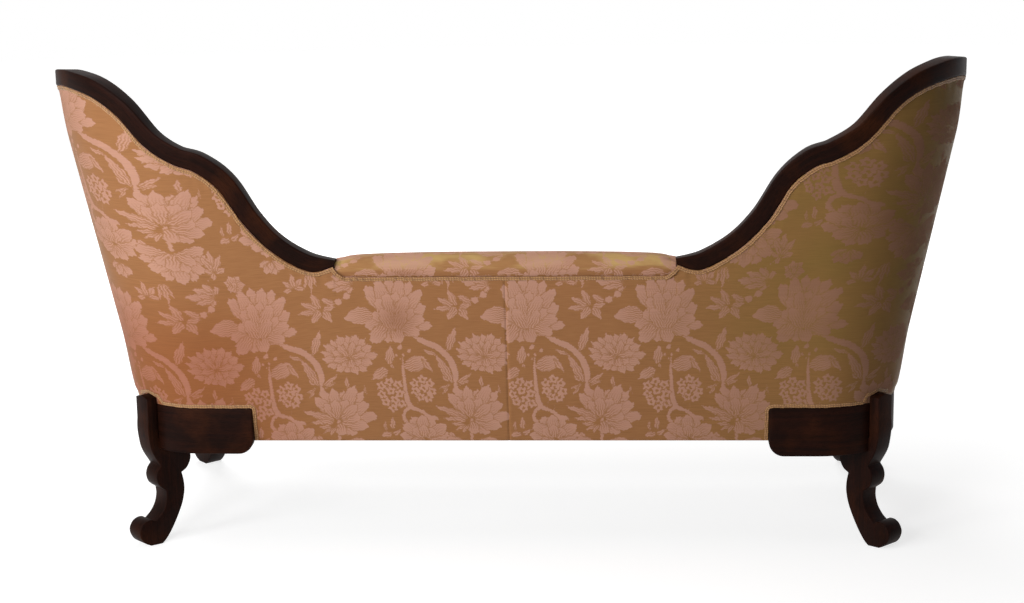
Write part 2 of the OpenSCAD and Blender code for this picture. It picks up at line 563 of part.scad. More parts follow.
// Springs between webbing and burlap, narrow at the waist
spring_turns = 4;
spring_ring = 8;
spring_sides = 4;
spring_waist = 0.25;
spring_pitch_x = 2 * (back_half - rail_t) / spring_count;
spring_y = half_d / 2.6;
function spring_point(t) = let (a = 360 * spring_turns * t, r = (spring_r - spring_wire)
        * (1 - spring_waist * sin(180 * t)))
    [r * cos(a), r * sin(a), rail_z + spring_wire / 2 + (rail_h - spring_wire) * t];
module spring() {
    n = spring_turns * spring_ring;
    rings = [for (i = [0 : n]) let (t = i / n, p = spring_point(t), a = 360 * spring_turns * t)
        [for (k = [0 : spring_sides - 1]) let (b = 360 * k / spring_sides + 45)
            p + spring_wire / 2 * [cos(a) * cos(b), sin(a) * cos(b), sin(b)] / cos(45)]];
    loft(rings);
}
module seat_springs() color(metal) at_base()
    for (i = [0 : spring_count - 1]) for (sy = [-1, 1])
        translate([(i - (spring_count - 1) / 2) * spring_pitch_x, sy * spring_y, 0]) spring();

// Webbing under the rails: strips across, and strips along below them
web_w = 50;
web_t = 2;
module seat_webbing() color(jute) at_base() {
    for (i = [0 : spring_count - 1])
        translate([(i - (spring_count - 1) / 2) * spring_pitch_x, 0, rail_z - web_t / 2])
            cube([web_w, 2 * (half_d - block_in - rail_t / 3), web_t], center = true);
    for (sy = [-1, 1]) translate([0, sy * (spring_y), rail_z - web_t * 3 / 2])
        cube([2 * (half_l - block_in - rail_t / 3), web_w, web_t], center = true);
}

// Dust cover below the webbing, cut back round the legs
dust_t = 1.5;
dust_in = block_in + rail_t / 2;
module dust_cover() color(cloth) at_base() difference() {
    base_plate(dust_in, rail_z - 2 * web_t - dust_t, dust_t);
    for (sx = [-1, 1]) for (sy = [-1, 1]) side(sx, sy) translate([back_half, end_half, 0])
        rotate([0, 0, 45]) translate([leg_in_r - block_t / 4, -leg_t / 2 - block_t / 8, rail_z / 2])
            cube([corner_r, leg_t + block_t / 4, rail_z]);
}

// Gimp along the crest's lower edge, under the roll and round the blocks
gimp_d = gap + gimp_t;
module crest_gimp(sx) color(braid)
    strip(1, crest_last - 1, -crest_face / 2 - gimp_w, -crest_face / 2 - gap, gap, gimp_d, sx);
module crest_gimp_l() crest_gimp(1);
module crest_gimp_r() crest_gimp(-1);
module roll_gimp() color(braid) slab([-crest_s0, crest_s0], 2,
    function (s, j) roll_z - gap - gimp_w * (1 - j), function (s, j) gap, function (s, j) gimp_d,
    function (s, j) true);
gimp_steps = 30;
module block_gimp(sx, s0, s1) color(braid) side(sx, 1)
    slab(concat([s0 - gap - gimp_w, s0 - gap], even(s0 + gap, s1 - gap, gimp_steps),
        [s1 + gap, s1 + gap + gimp_w]), 3,
        function (s, j) [rail_z, block_top_z + gap, block_top_z + gap + gimp_w][j],
        function (s, j) gap, function (s, j) gimp_d,
        function (s, j) j > 0 || s < s0 - gap || s > s1 + gap);
module rear_block_gimp_l() block_gimp(1, s_block_1, s_block_2);
module rear_block_gimp_r() block_gimp(-1, s_block_1, s_block_2);
module front_block_gimp_l() block_gimp(1, s_block_3, s_block_4);
module front_block_gimp_r() block_gimp(-1, s_block_3, s_block_4);

back_seat_rail();
front_seat_rail();
end_seat_rail_l();
end_seat_rail_r();
rear_corner_block_l();
rear_corner_block_r();
front_corner_block_l();
front_corner_block_r();
rear_corner_brace_l();
rear_corner_brace_r();
front_corner_brace_l();
front_corner_brace_r();
rear_leg_l();
rear_leg_r();
front_leg_l();
front_leg_r();
rear_leg_bolt_l();
rear_leg_bolt_r();
front_leg_bolt_l();
front_leg_bolt_r();
crest_back_l();
crest_back_r();
crest_corner_l();
crest_corner_r();
crest_end_l();
crest_end_r();
crest_scroll_l();
crest_scroll_r();
back_top_rail();
back_tack_rail();
back_post_l();
back_post_r();
corner_post_l();
corner_post_r();
end_post_l();
end_post_r();
outside_cover_l();
outside_cover_r();
front_border();
inside_back_pad();
inside_end_pad_l();
inside_end_pad_r();
back_roll();
seat_pad();
seat_burlap();
seat_springs();
seat_webbing();
dust_cover();
crest_gimp_l();
crest_gimp_r();
roll_gimp();
rear_block_gimp_l();
rear_block_gimp_r();
front_block_gimp_l();
front_block_gimp_r();
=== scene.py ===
# %% [markdown]
# # A fainting couch, dressed round its CAD frame
# The couch stands with its back to the camera: a low back with a padded roll, two high ends under a dark wood
# crest rail, rose and gold damask, gold gimp and four sawn legs. The CAD model gives each piece its place.
# This script gives each piece its finish, and builds the soft and the rounded ones again with more detail.

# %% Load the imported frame
import math

import bpy
import numpy as np
from mathutils import Matrix, Vector


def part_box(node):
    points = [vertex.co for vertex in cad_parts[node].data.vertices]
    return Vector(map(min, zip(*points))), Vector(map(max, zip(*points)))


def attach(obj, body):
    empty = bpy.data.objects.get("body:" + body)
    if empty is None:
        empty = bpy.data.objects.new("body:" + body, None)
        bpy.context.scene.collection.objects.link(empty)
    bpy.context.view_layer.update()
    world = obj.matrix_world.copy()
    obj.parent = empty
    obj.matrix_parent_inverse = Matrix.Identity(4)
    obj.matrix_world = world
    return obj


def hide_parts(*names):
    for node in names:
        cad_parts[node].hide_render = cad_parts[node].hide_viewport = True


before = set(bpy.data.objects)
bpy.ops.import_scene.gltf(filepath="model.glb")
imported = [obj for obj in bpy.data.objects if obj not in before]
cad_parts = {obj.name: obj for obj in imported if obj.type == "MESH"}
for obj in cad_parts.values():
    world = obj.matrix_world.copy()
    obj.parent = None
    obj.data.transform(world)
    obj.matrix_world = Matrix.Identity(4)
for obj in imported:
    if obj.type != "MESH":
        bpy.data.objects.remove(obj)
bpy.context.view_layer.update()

scene = bpy.context.scene
scene.view_settings.view_transform = "Standard"

# %% [markdown]
# ## Camera
# The photograph was taken with a long lens from a little above the couch and to the right of its middle. Its
# place, aim and lens were solved from the couch's own outlines, so they are written as numbers here. A camera
# looks along its own -Z, so its axes are built from where it looks, what is to its right and what is up.

# %% Set up the camera
CAMERA_PLACE = Vector((-0.229385, 3.994567, 1.295154))
CAMERA_YAW, CAMERA_PITCH, CAMERA_ROLL = (math.radians(a) for a in (3.37173, 11.98816, -0.93839))
CAMERA_LENS_MM = 69.288
ahead = Vector((math.sin(CAMERA_YAW) * math.cos(CAMERA_PITCH), -math.cos(CAMERA_YAW) * math.cos(CAMERA_PITCH),
                -math.sin(CAMERA_PITCH)))
level = Vector((-math.cos(CAMERA_YAW), -math.sin(CAMERA_YAW), 0))
upright = level.cross(ahead)
right = level * math.cos(CAMERA_ROLL) + upright * math.sin(CAMERA_ROLL)
above = upright * math.cos(CAMERA_ROLL) - level * math.sin(CAMERA_ROLL)
bpy.ops.object.camera_add(location=CAMERA_PLACE)
camera = bpy.context.object
camera.matrix_world = Matrix.Translation(CAMERA_PLACE) @ Matrix((right, above, -ahead)).transposed().to_4x4()
camera.data.sensor_width = 36
camera.data.lens = CAMERA_LENS_MM
scene.camera = camera
print("camera looks along", [round(x, 3) for x in ahead])

# %% [markdown]
# ## The body's shape
# The body is a rounded rectangle that leans outward all round. As in the CAD model, a place on it is a length
# s along the base line from the middle of the back, a height z and a depth d outward from the fabric. Lengths
# are in millimetres until a mesh is made. Positive s goes round the photograph's left side.

# %% Plan and lean of the body
MM = 0.001
BASE_LENGTH, BASE_DEPTH, CORNER_R = 1500, 616, 150
LEAN_ANGLE = math.radians(11.7)
LEAN, LEAN_COS = math.tan(LEAN_ANGLE), math.cos(LEAN_ANGLE)
RAIL_Z, RAIL_TOP_Z, BLOCK_TOP_Z = 220, 300, 290
BLOCK_PROUD, BLOCK_T, BLOCK_DROP, BLOCK_END_DROP, BLOCK_REACH, BLOCK_ROUND = 18, 25, 23, 8, 93, 24
GAP = 0.3
BACK_HALF = BASE_LENGTH / 2 - CORNER_R
END_HALF = BASE_DEPTH / 2 - CORNER_R
ARC = CORNER_R * math.pi / 2
S_END = BACK_HALF + ARC
S_FRONT_CORNER = S_END + 2 * END_HALF
S_FRONT = S_FRONT_CORNER + ARC
S_MIDDLE = S_FRONT + BACK_HALF
BLOCK_BACK_END = BACK_HALF - BLOCK_REACH
BLOCK_SIDE_END = S_END + min(BLOCK_REACH, END_HALF - BLOCK_ROUND)
FRONT_BLOCK_SIDE_END = S_FRONT_CORNER - (BLOCK_SIDE_END - S_END)
FRONT_BLOCK_END = S_FRONT + BLOCK_REACH
REAR_LEG_S, FRONT_LEG_S = BACK_HALF + ARC / 2, S_FRONT_CORNER + ARC / 2
# The photograph's left side and its right side, as a sign of s and a tag in names
SIDES = ((1, "l"), (-1, "r"))
# The middle of the base lies between the faces of the rear and the front blocks
Y_MIDDLE = (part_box("rear_corner_block_l")[1].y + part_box("front_corner_block_l")[0].y) / 2 / MM


def plan(s):
    """Middle of curvature and outward direction at lengths s along the base line."""
    a = np.abs(np.asarray(s, float))
    side = np.where(np.asarray(s) < 0, -1.0, 1.0) * np.where(a > S_MIDDLE, -1.0, 1.0)
    a = np.where(a > S_MIDDLE, 2 * S_MIDDLE - a, a)
    turn = np.clip((a - BACK_HALF) / CORNER_R, 0, math.pi / 2) + np.clip((a - S_FRONT_CORNER) / CORNER_R, 0,
                                                                       math.pi / 2)
    x = np.minimum(a, BACK_HALF) - np.maximum(0, a - S_FRONT)
    y = END_HALF - np.clip(a - S_END, 0, 2 * END_HALF)
    return side * x, y, side * np.sin(turn), np.cos(turn)


def body(s, z, d, lean_z=None):
    """Points of the leaning body, in millimetres."""
    x, y, out_x, out_y = plan(s)
    reach = CORNER_R + ((z if lean_z is None else lean_z) - RAIL_Z) * LEAN + d
    return np.stack(np.broadcast_arrays(x + out_x * reach, y + out_y * reach + Y_MIDDLE, z), -1)


def smooth(t):
    """Rises from 0 to 1 without a corner while t does."""
    t = np.clip(t, 0, 1)
    return t * t * (3 - 2 * t)


def near_line(z, line, reach):
    """1 on a line and above it, and down to 0 at reach below it."""
    return smooth((z - line) / reach + 1)


print("middle of the base at y =", round(Y_MIDDLE, 2), "mm")

# %% [markdown]
# ## The crest's curve
# The crest rail is sawn from boards along one flowing line: level at the roll, up in two swells to an ear at
# each corner, gently down over the end, and round to the front block. The line is a smooth curve through the
# CAD model's knots. The boards are upright round the corners, and lean with the body along the back.

# %% Sizes and outline of the crest rail
ROLL_HALF, ROLL_Z, CREST_LOW_Z, CREST_PEAK_Z, CREST_FACE, CREST_T = 317, 564, 583, 947, 34, 34
CREST_STEPS, CREST_FROM_ROLL = 10, 9
BACK_SHARES = [[0, 0], [.202, .022], [.397, .112], [.574, .266], [.734, .45], [.894, .557]]
CORNER_SHARES = [[.026, .607], [.144, .7], [.263, .86], [.39, .955], [.543, .995], [.68, 1], [.84, .98],
                 [1, .942]]
END_SHARES = [[.22, .944], [.475, .917], [.71, .88], [.885, .832]]
SCROLL_SHARES = [[.028, .768], [.172, .677], [.27, .563], [.342, .427], [.389, .29], [.414, .15], [.422, 0]]
# The lower edge sweeps up to the roll, and the crest is set in at the ears, fading out downward over a reach
END_SWEEP, END_SWEEP_LENGTH = 19, 42
EAR_INSET, EAR_INSET_RIGHT, INSET_REACH = 6, 9, 110
# The hand-sawn edges aren't quite even, nor the same on both sides. For the left side (1) and the right (-1):
# length along the base line, and how much higher the lower edge and the upper edge stand, in mm
SAWN = {
    1: [[326, 0, -5], [340, 2, -2], [360, 3, 2], [380, 3, 5], [410, 5, 6], [440, 5, 5], [470, 3, 4],
        [500, 5, 8], [530, 6, 11], [560, 4, 9], [590, 2, 5.5], [620, -1, 0], [650, 0, 1.5], [680, -2, .5],
        [710, -3, -1.5], [740, -3, -5], [770, -3, -8], [800, -3, -7], [830, -2.5, -3], [880, -1, 0],
        [940, 0, 0]],
    -1: [[326, 0, -5], [340, 3, -2], [360, 2, 2], [380, 4, 5], [410, 6.5, 6], [440, 5, 4], [470, 1, 1],
         [500, 1.5, 2], [530, 5, 5], [560, 3, 7], [590, 2, 7], [620, -3, 2], [650, -7, -7], [680, -6, -7],
         [710, -6, -3], [740, -5, -.5], [770, -3, .5], [800, -1, 2], [830, 0, 3], [880, 0, 0], [940, 0, 0]]}
crest_rise, crest_fall = CREST_PEAK_Z - CREST_LOW_Z, CREST_PEAK_Z - BLOCK_TOP_Z
crest_start = ROLL_HALF + CREST_FROM_ROLL
corner_stretch = 1 + ((CREST_LOW_Z + 2 * CREST_PEAK_Z) / 3 - RAIL_Z) * LEAN / CORNER_R
arc_w = ARC * corner_stretch
w_end = BACK_HALF + arc_w
w_front_corner = w_end + 2 * END_HALF


# %% Smooth lines through a few points


def spline(knots, steps):
    """Smooth curve through knots (Catmull-Rom)."""
    k = np.array([2 * np.array(knots[0]) - knots[1], *knots, 2 * np.array(knots[-1]) - knots[-2]], float)
    t = np.linspace(0, 1, steps, endpoint=False)[:, None]
    spans = [0.5 * (2 * b + (c - a) * t + (2 * a - 5 * b + 4 * c - e) * t ** 2
                    + (3 * b - a - 3 * c + e) * t ** 3)
             for a, b, c, e in zip(k, k[1:], k[2:], k[3:])]
    return np.concatenate([*spans, k[-2:-1]])


def evened(values, reach):
    """Running mean over reach steps to both sides."""
    return np.convolve(np.pad(values, reach, "edge"), np.full(2 * reach + 1, 1 / (2 * reach + 1)), "valid")


def s_at(w):
    """Length along the base line for a length w along the crest, which is longer in the corners."""
    return (np.minimum(w, BACK_HALF) + np.clip(w - BACK_HALF, 0, arc_w) / corner_stretch
            + np.clip(w - w_end, 0, 2 * END_HALF) + np.maximum(0, w - w_front_corner) / corner_stretch)


# %% Middle line, and how the rail stands along it
crest_knots = ([[crest_start + a * (BACK_HALF - crest_start), CREST_LOW_Z + b * crest_rise]
                for a, b in BACK_SHARES]
               + [[BACK_HALF + a * arc_w, CREST_LOW_Z + b * crest_rise] for a, b in CORNER_SHARES]
               + [[w_end + a * 2 * END_HALF, BLOCK_TOP_Z + b * crest_fall] for a, b in END_SHARES]
               + [[w_front_corner + a * arc_w, BLOCK_TOP_Z + b * crest_fall] for a, b in SCROLL_SHARES])
crest_line = spline(crest_knots, CREST_STEPS)
crest_s = s_at(crest_line[:, 0])
crest_z = crest_line[:, 1]
in_corner = ((crest_s > BACK_HALF) & (crest_s < S_END)) | (crest_s > S_FRONT_CORNER)
crest_k = np.where(in_corner, (1 + (crest_z - RAIL_Z) * LEAN / CORNER_R) / corner_stretch, 1)
crest_k = evened(crest_k, 8)
crest_way = np.gradient(crest_line, axis=0) * np.stack([crest_k, np.full(len(crest_k), 1 / LEAN_COS)], 1)
crest_way /= np.linalg.norm(crest_way, axis=1)[:, None]
crest_way[-1] = [0, -1]
crest_upright = np.clip((crest_s - BACK_HALF + CORNER_R / 2) / CORNER_R, 0, 1)


# %% The rail as it was sawn and set


def swept(h, side, inner=1.0):
    """h across the crest's face, once its edges are sawn and the lower one sweeps up to the roll."""
    near_roll = np.clip(1 - (crest_s - crest_s[0]) / END_SWEEP_LENGTH, 0, 1) ** 1.5
    share = np.clip(h / CREST_FACE + 0.5, 0, 1)
    s, low, high = np.array(SAWN[side]).T
    low, high = (evened(np.interp(crest_s, s, rise), 4) for rise in (low, high))
    return h + END_SWEEP * near_roll * (1 - share) + low + (high - low) * share * (0.5 + 0.5 * inner)


def ear_inset(s):
    """How far the crest and what is fixed to it are set in at the ear, more than on the CAD model."""
    a = np.abs(s)
    most = np.where(np.asarray(s) < 0, EAR_INSET_RIGHT, EAR_INSET)
    return most * smooth((a - 560) / 160) * smooth((S_END + 130 - a) / 110)


def crest_side(h):
    """Places beside the crest's middle line, h across it: length along the base line, and height."""
    return s_at(crest_line[:, 0] - crest_way[:, 1] * h / crest_k), crest_z + crest_way[:, 0] * h * LEAN_COS


def crest_points(h, d):
    """Points along the crest, h across its face and d outward from the fabric."""
    s, z = crest_side(h)
    return body(s, z, d, z + crest_upright * (crest_z - z))


def rising(s, z):
    """Keeps the part of a line on which s grows, so that it can be read off at any s."""
    grows = s > np.concatenate([[-1], np.maximum.accumulate(s)[:-1]])
    return s[grows], z[grows]


def top_z(s, lap=0):
    """Height at which fabric ends under the crest or the roll, lap up the crest."""
    a = np.abs(s)
    left, right = (np.interp(a, *rising(*crest_side(lap + swept(-CREST_FACE / 2, side)))) for side in (1, -1))
    return np.where(a < crest_start, ROLL_Z, np.where(np.asarray(s) < 0, right, left)) - GAP


crest_arc = np.concatenate([[0], np.cumsum(np.linalg.norm(np.diff(crest_points(0, 0), axis=0), axis=1))])
print("crest rail is", round(crest_arc[-1]), "mm long on each side")

# %% [markdown]
# ## Helpers for meshes
# Each piece starts as a grid primitive. Every vertex of the grid has a place from 0 to 1 across and along it,
# and a function says where that place lies on the real piece. A sheet stays open, and a tube is rolled up so
# that its first and last column meet, is welded there and has its ends closed.

# %% Picking, editing and grids
WELD_REACH = 0.02 * MM
MIDDLE_Z = 450


def pick(obj):
    """Selects one object alone and makes it active."""
    bpy.ops.object.select_all(action="DESELECT")
    obj.select_set(True)
    bpy.context.view_layer.objects.active = obj


def edit(obj, *steps):
    """Runs edit mode operators on all of one object. A step is an operator and its settings."""
    pick(obj)
    bpy.ops.object.mode_set(mode="EDIT")
    for step, settings in steps:
        bpy.ops.mesh.select_all(action="SELECT")
        step(**settings)
    bpy.ops.object.mode_set(mode="OBJECT")


def grid_piece(name, across, along, place, keep=None):
    """A grid whose vertices go where place(u, v) says, in millimetres. keep(u, v) tells which cells stay."""
    bpy.ops.mesh.primitive_grid_add(x_subdivisions=across, y_subdivisions=along, size=2, location=(0, 0, 0))
    obj = bpy.context.object
    obj.name = obj.data.name = name
    flat = np.zeros(len(obj.data.vertices) * 3)
    obj.data.vertices.foreach_get("co", flat)
    uv = (flat.reshape(-1, 3)[:, :2] + 1) / 2
    uv = np.round(uv * [across, along]) / [across, along]
    if keep is not None:
        corners = np.zeros(len(obj.data.loops), np.int32)
        obj.data.loops.foreach_get("vertex_index", corners)
        middles = uv[corners.reshape(-1, 4)].mean(1)
        drop = ~keep(middles[:, 0], middles[:, 1])
    points = place(uv[:, 0], uv[:, 1])
    obj.data.vertices.foreach_set("co", (points * MM).astype(np.float32).ravel())
    put(obj, "place_uv", np.column_stack([uv, np.zeros(len(uv))]))
    if keep is not None:
        bpy.ops.object.mode_set(mode="EDIT")
        bpy.ops.mesh.select_mode(type="FACE")
        bpy.ops.mesh.select_all(action="DESELECT")
        bpy.ops.object.mode_set(mode="OBJECT")
        obj.data.polygons.foreach_set("select", drop)
        bpy.ops.object.mode_set(mode="EDIT")
        bpy.ops.mesh.delete(type="FACE")
        bpy.ops.mesh.select_mode(type="VERT")
        bpy.ops.object.mode_set(mode="OBJECT")
    return obj


# %% Stored values, welds and closed tubes


def put(obj, name, values):
    """Stores three numbers on each vertex, for a material to read."""
    found = obj.data.attributes.get(name) or obj.data.attributes.new(name, "FLOAT_VECTOR", "POINT")
    found.data.foreach_set("vector", np.asarray(values, np.float32).ravel())


def got(obj, name):
    values = np.zeros(len(obj.data.vertices) * 3, np.float32)
    obj.data.attributes[name].data.foreach_get("vector", values)
    return values.reshape(-1, 3).astype(float)


def points_of(obj):
    values = np.zeros(len(obj.data.vertices) * 3)
    obj.data.vertices.foreach_get("co", values)
    return values.reshape(-1, 3)


def weld(obj):
    edit(obj, (bpy.ops.mesh.remove_doubles, {"threshold": WELD_REACH}))


def close_ends(obj):
    """Welds a rolled-up grid, fills its open ends and turns its faces outward."""
    weld(obj)
    bpy.ops.object.mode_set(mode="EDIT")
    bpy.ops.mesh.select_all(action="DESELECT")
    bpy.ops.mesh.select_non_manifold(extend=False, use_wire=False, use_multi_face=False,
                                     use_non_contiguous=False, use_verts=False)
    bpy.ops.mesh.edge_face_add()
    bpy.ops.mesh.select_all(action="SELECT")
    bpy.ops.mesh.normals_make_consistent(inside=False)
    bpy.ops.object.mode_set(mode="OBJECT")


def face_out(obj):
    """Turns an open sheet's faces away from the couch's middle."""
    middle = Vector((0, Y_MIDDLE, MIDDLE_Z)) * MM
    total = sum((p.center - middle).dot(p.normal) * p.area for p in obj.data.polygons)
    if total < 0:
        edit(obj, (bpy.ops.mesh.flip_normals, {}))


def ringed_piece(name, rings, grain):
    """A closed tube of wood. rings holds its points ring by ring, and grain their places in the wood."""
    def ring_index(u, v):
        return tuple(np.round(share * (count - 1)).astype(int) for share, count in zip((u, v), rings.shape))

    made = grid_piece(name, rings.shape[0] - 1, rings.shape[1] - 1, lambda u, v: rings[ring_index(u, v)])
    place = got(made, "place_uv")
    put(made, "grain_mm", grain[ring_index(place[:, 0], place[:, 1])])
    close_ends(made)
    return made


# %% Modifiers, material and place


def refine(obj, kind, **settings):
    """Adds a modifier and applies it."""
    bpy.context.view_layer.objects.active = obj
    modifier = obj.modifiers.new(kind.lower(), kind)
    for key, value in settings.items():
        setattr(modifier, key, value)
    bpy.ops.object.modifier_apply(modifier=modifier.name)


def finish_piece(obj, material, node, smooth_angle):
    """Shades a piece, gives it its material, ties it to the body and hides the CAD node it stands for."""
    pick(obj)
    bpy.ops.object.shade_smooth_by_angle(angle=math.radians(smooth_angle))
    obj.data.materials.clear()
    obj.data.materials.append(material)
    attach(obj, "root")
    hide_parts(node)
    print(obj.name, len(obj.data.polygons), "faces")
    return obj


# %% [markdown]
# ## Helpers for materials
# Colours are written as they look on a screen and turned to linear light by one function. One more function
# adds a shader node with its settings and its links. An input or output goes by its name, or by its number
# where several share one: on a Mix node the colours are inputs 6 and 7 and output 2.

# %% Colour and node helpers


def paint(hex_colour):
    """sRGB hex value as linear colour."""
    values = [int(hex_colour[i:i + 2], 16) / 255 for i in (1, 3, 5)]
    return (*[v / 12.92 if v <= 0.04045 else ((v + 0.055) / 1.055) ** 2.4 for v in values], 1.0)


def add(tree, kind, links=None, **settings):
    """Adds a node. links gives each input a value or another node's output."""
    new = tree.nodes.new("ShaderNode" + kind)
    for key, value in settings.items():
        setattr(new, key, value)
    for key, value in (links or {}).items():
        if isinstance(value, bpy.types.NodeSocket):
            tree.links.new(value, new.inputs[key])
        else:
            new.inputs[key].default_value = value
    return new


def new_material(name):
    material = bpy.data.materials.new(name)
    material.use_nodes = True
    material.node_tree.nodes.clear()
    return material, material.node_tree


# %% [markdown]
# ## The damask's flowers
# Damask is woven in two bindings of the same silk: a matt rose figure on a shiny golden ground. This one is a
# traditional floral with a peony, a ranunculus, a lily-like blossom, hydrangea heads, sprigs and a curved
# stem with long leaves, placed in one repeat after the photographed cloth. Each flower is a handful of
# petals. A petal is a leaf shape between a base and a tip, and its field is how far, in millimetres, a point
# lies inside it. Petals that touch lie in different layers, so that the material can draw a fine
# ground-coloured line round each. The fields are stored on the cloth's vertices, and the material cuts them
# sharp, which keeps edges crisp between vertices.

# %% Table of motifs
REPEAT = np.array([263.0, 430.0])
VEIN_MM, TOOTH_MM, TOOTH_DEPTH_MM = 4.4, 7.5, 1.5
# How far a motif, a small round and a stroke reach from their middles, and the largest field that is stored
MOTIF_REACH, ROUND_REACH, STROKE_REACH, FIELD_MM = 108, 20, 24, 9
# A kind gives where a petal is widest, as a power, and how blunt it is
KINDS = {"petal": (1.5, 0.6), "leaf": (0.85, 1.0), "round": (1.0, 0.5), "spoon": (2.1, 0.75),
         "drop": (0.7, 0.8)}
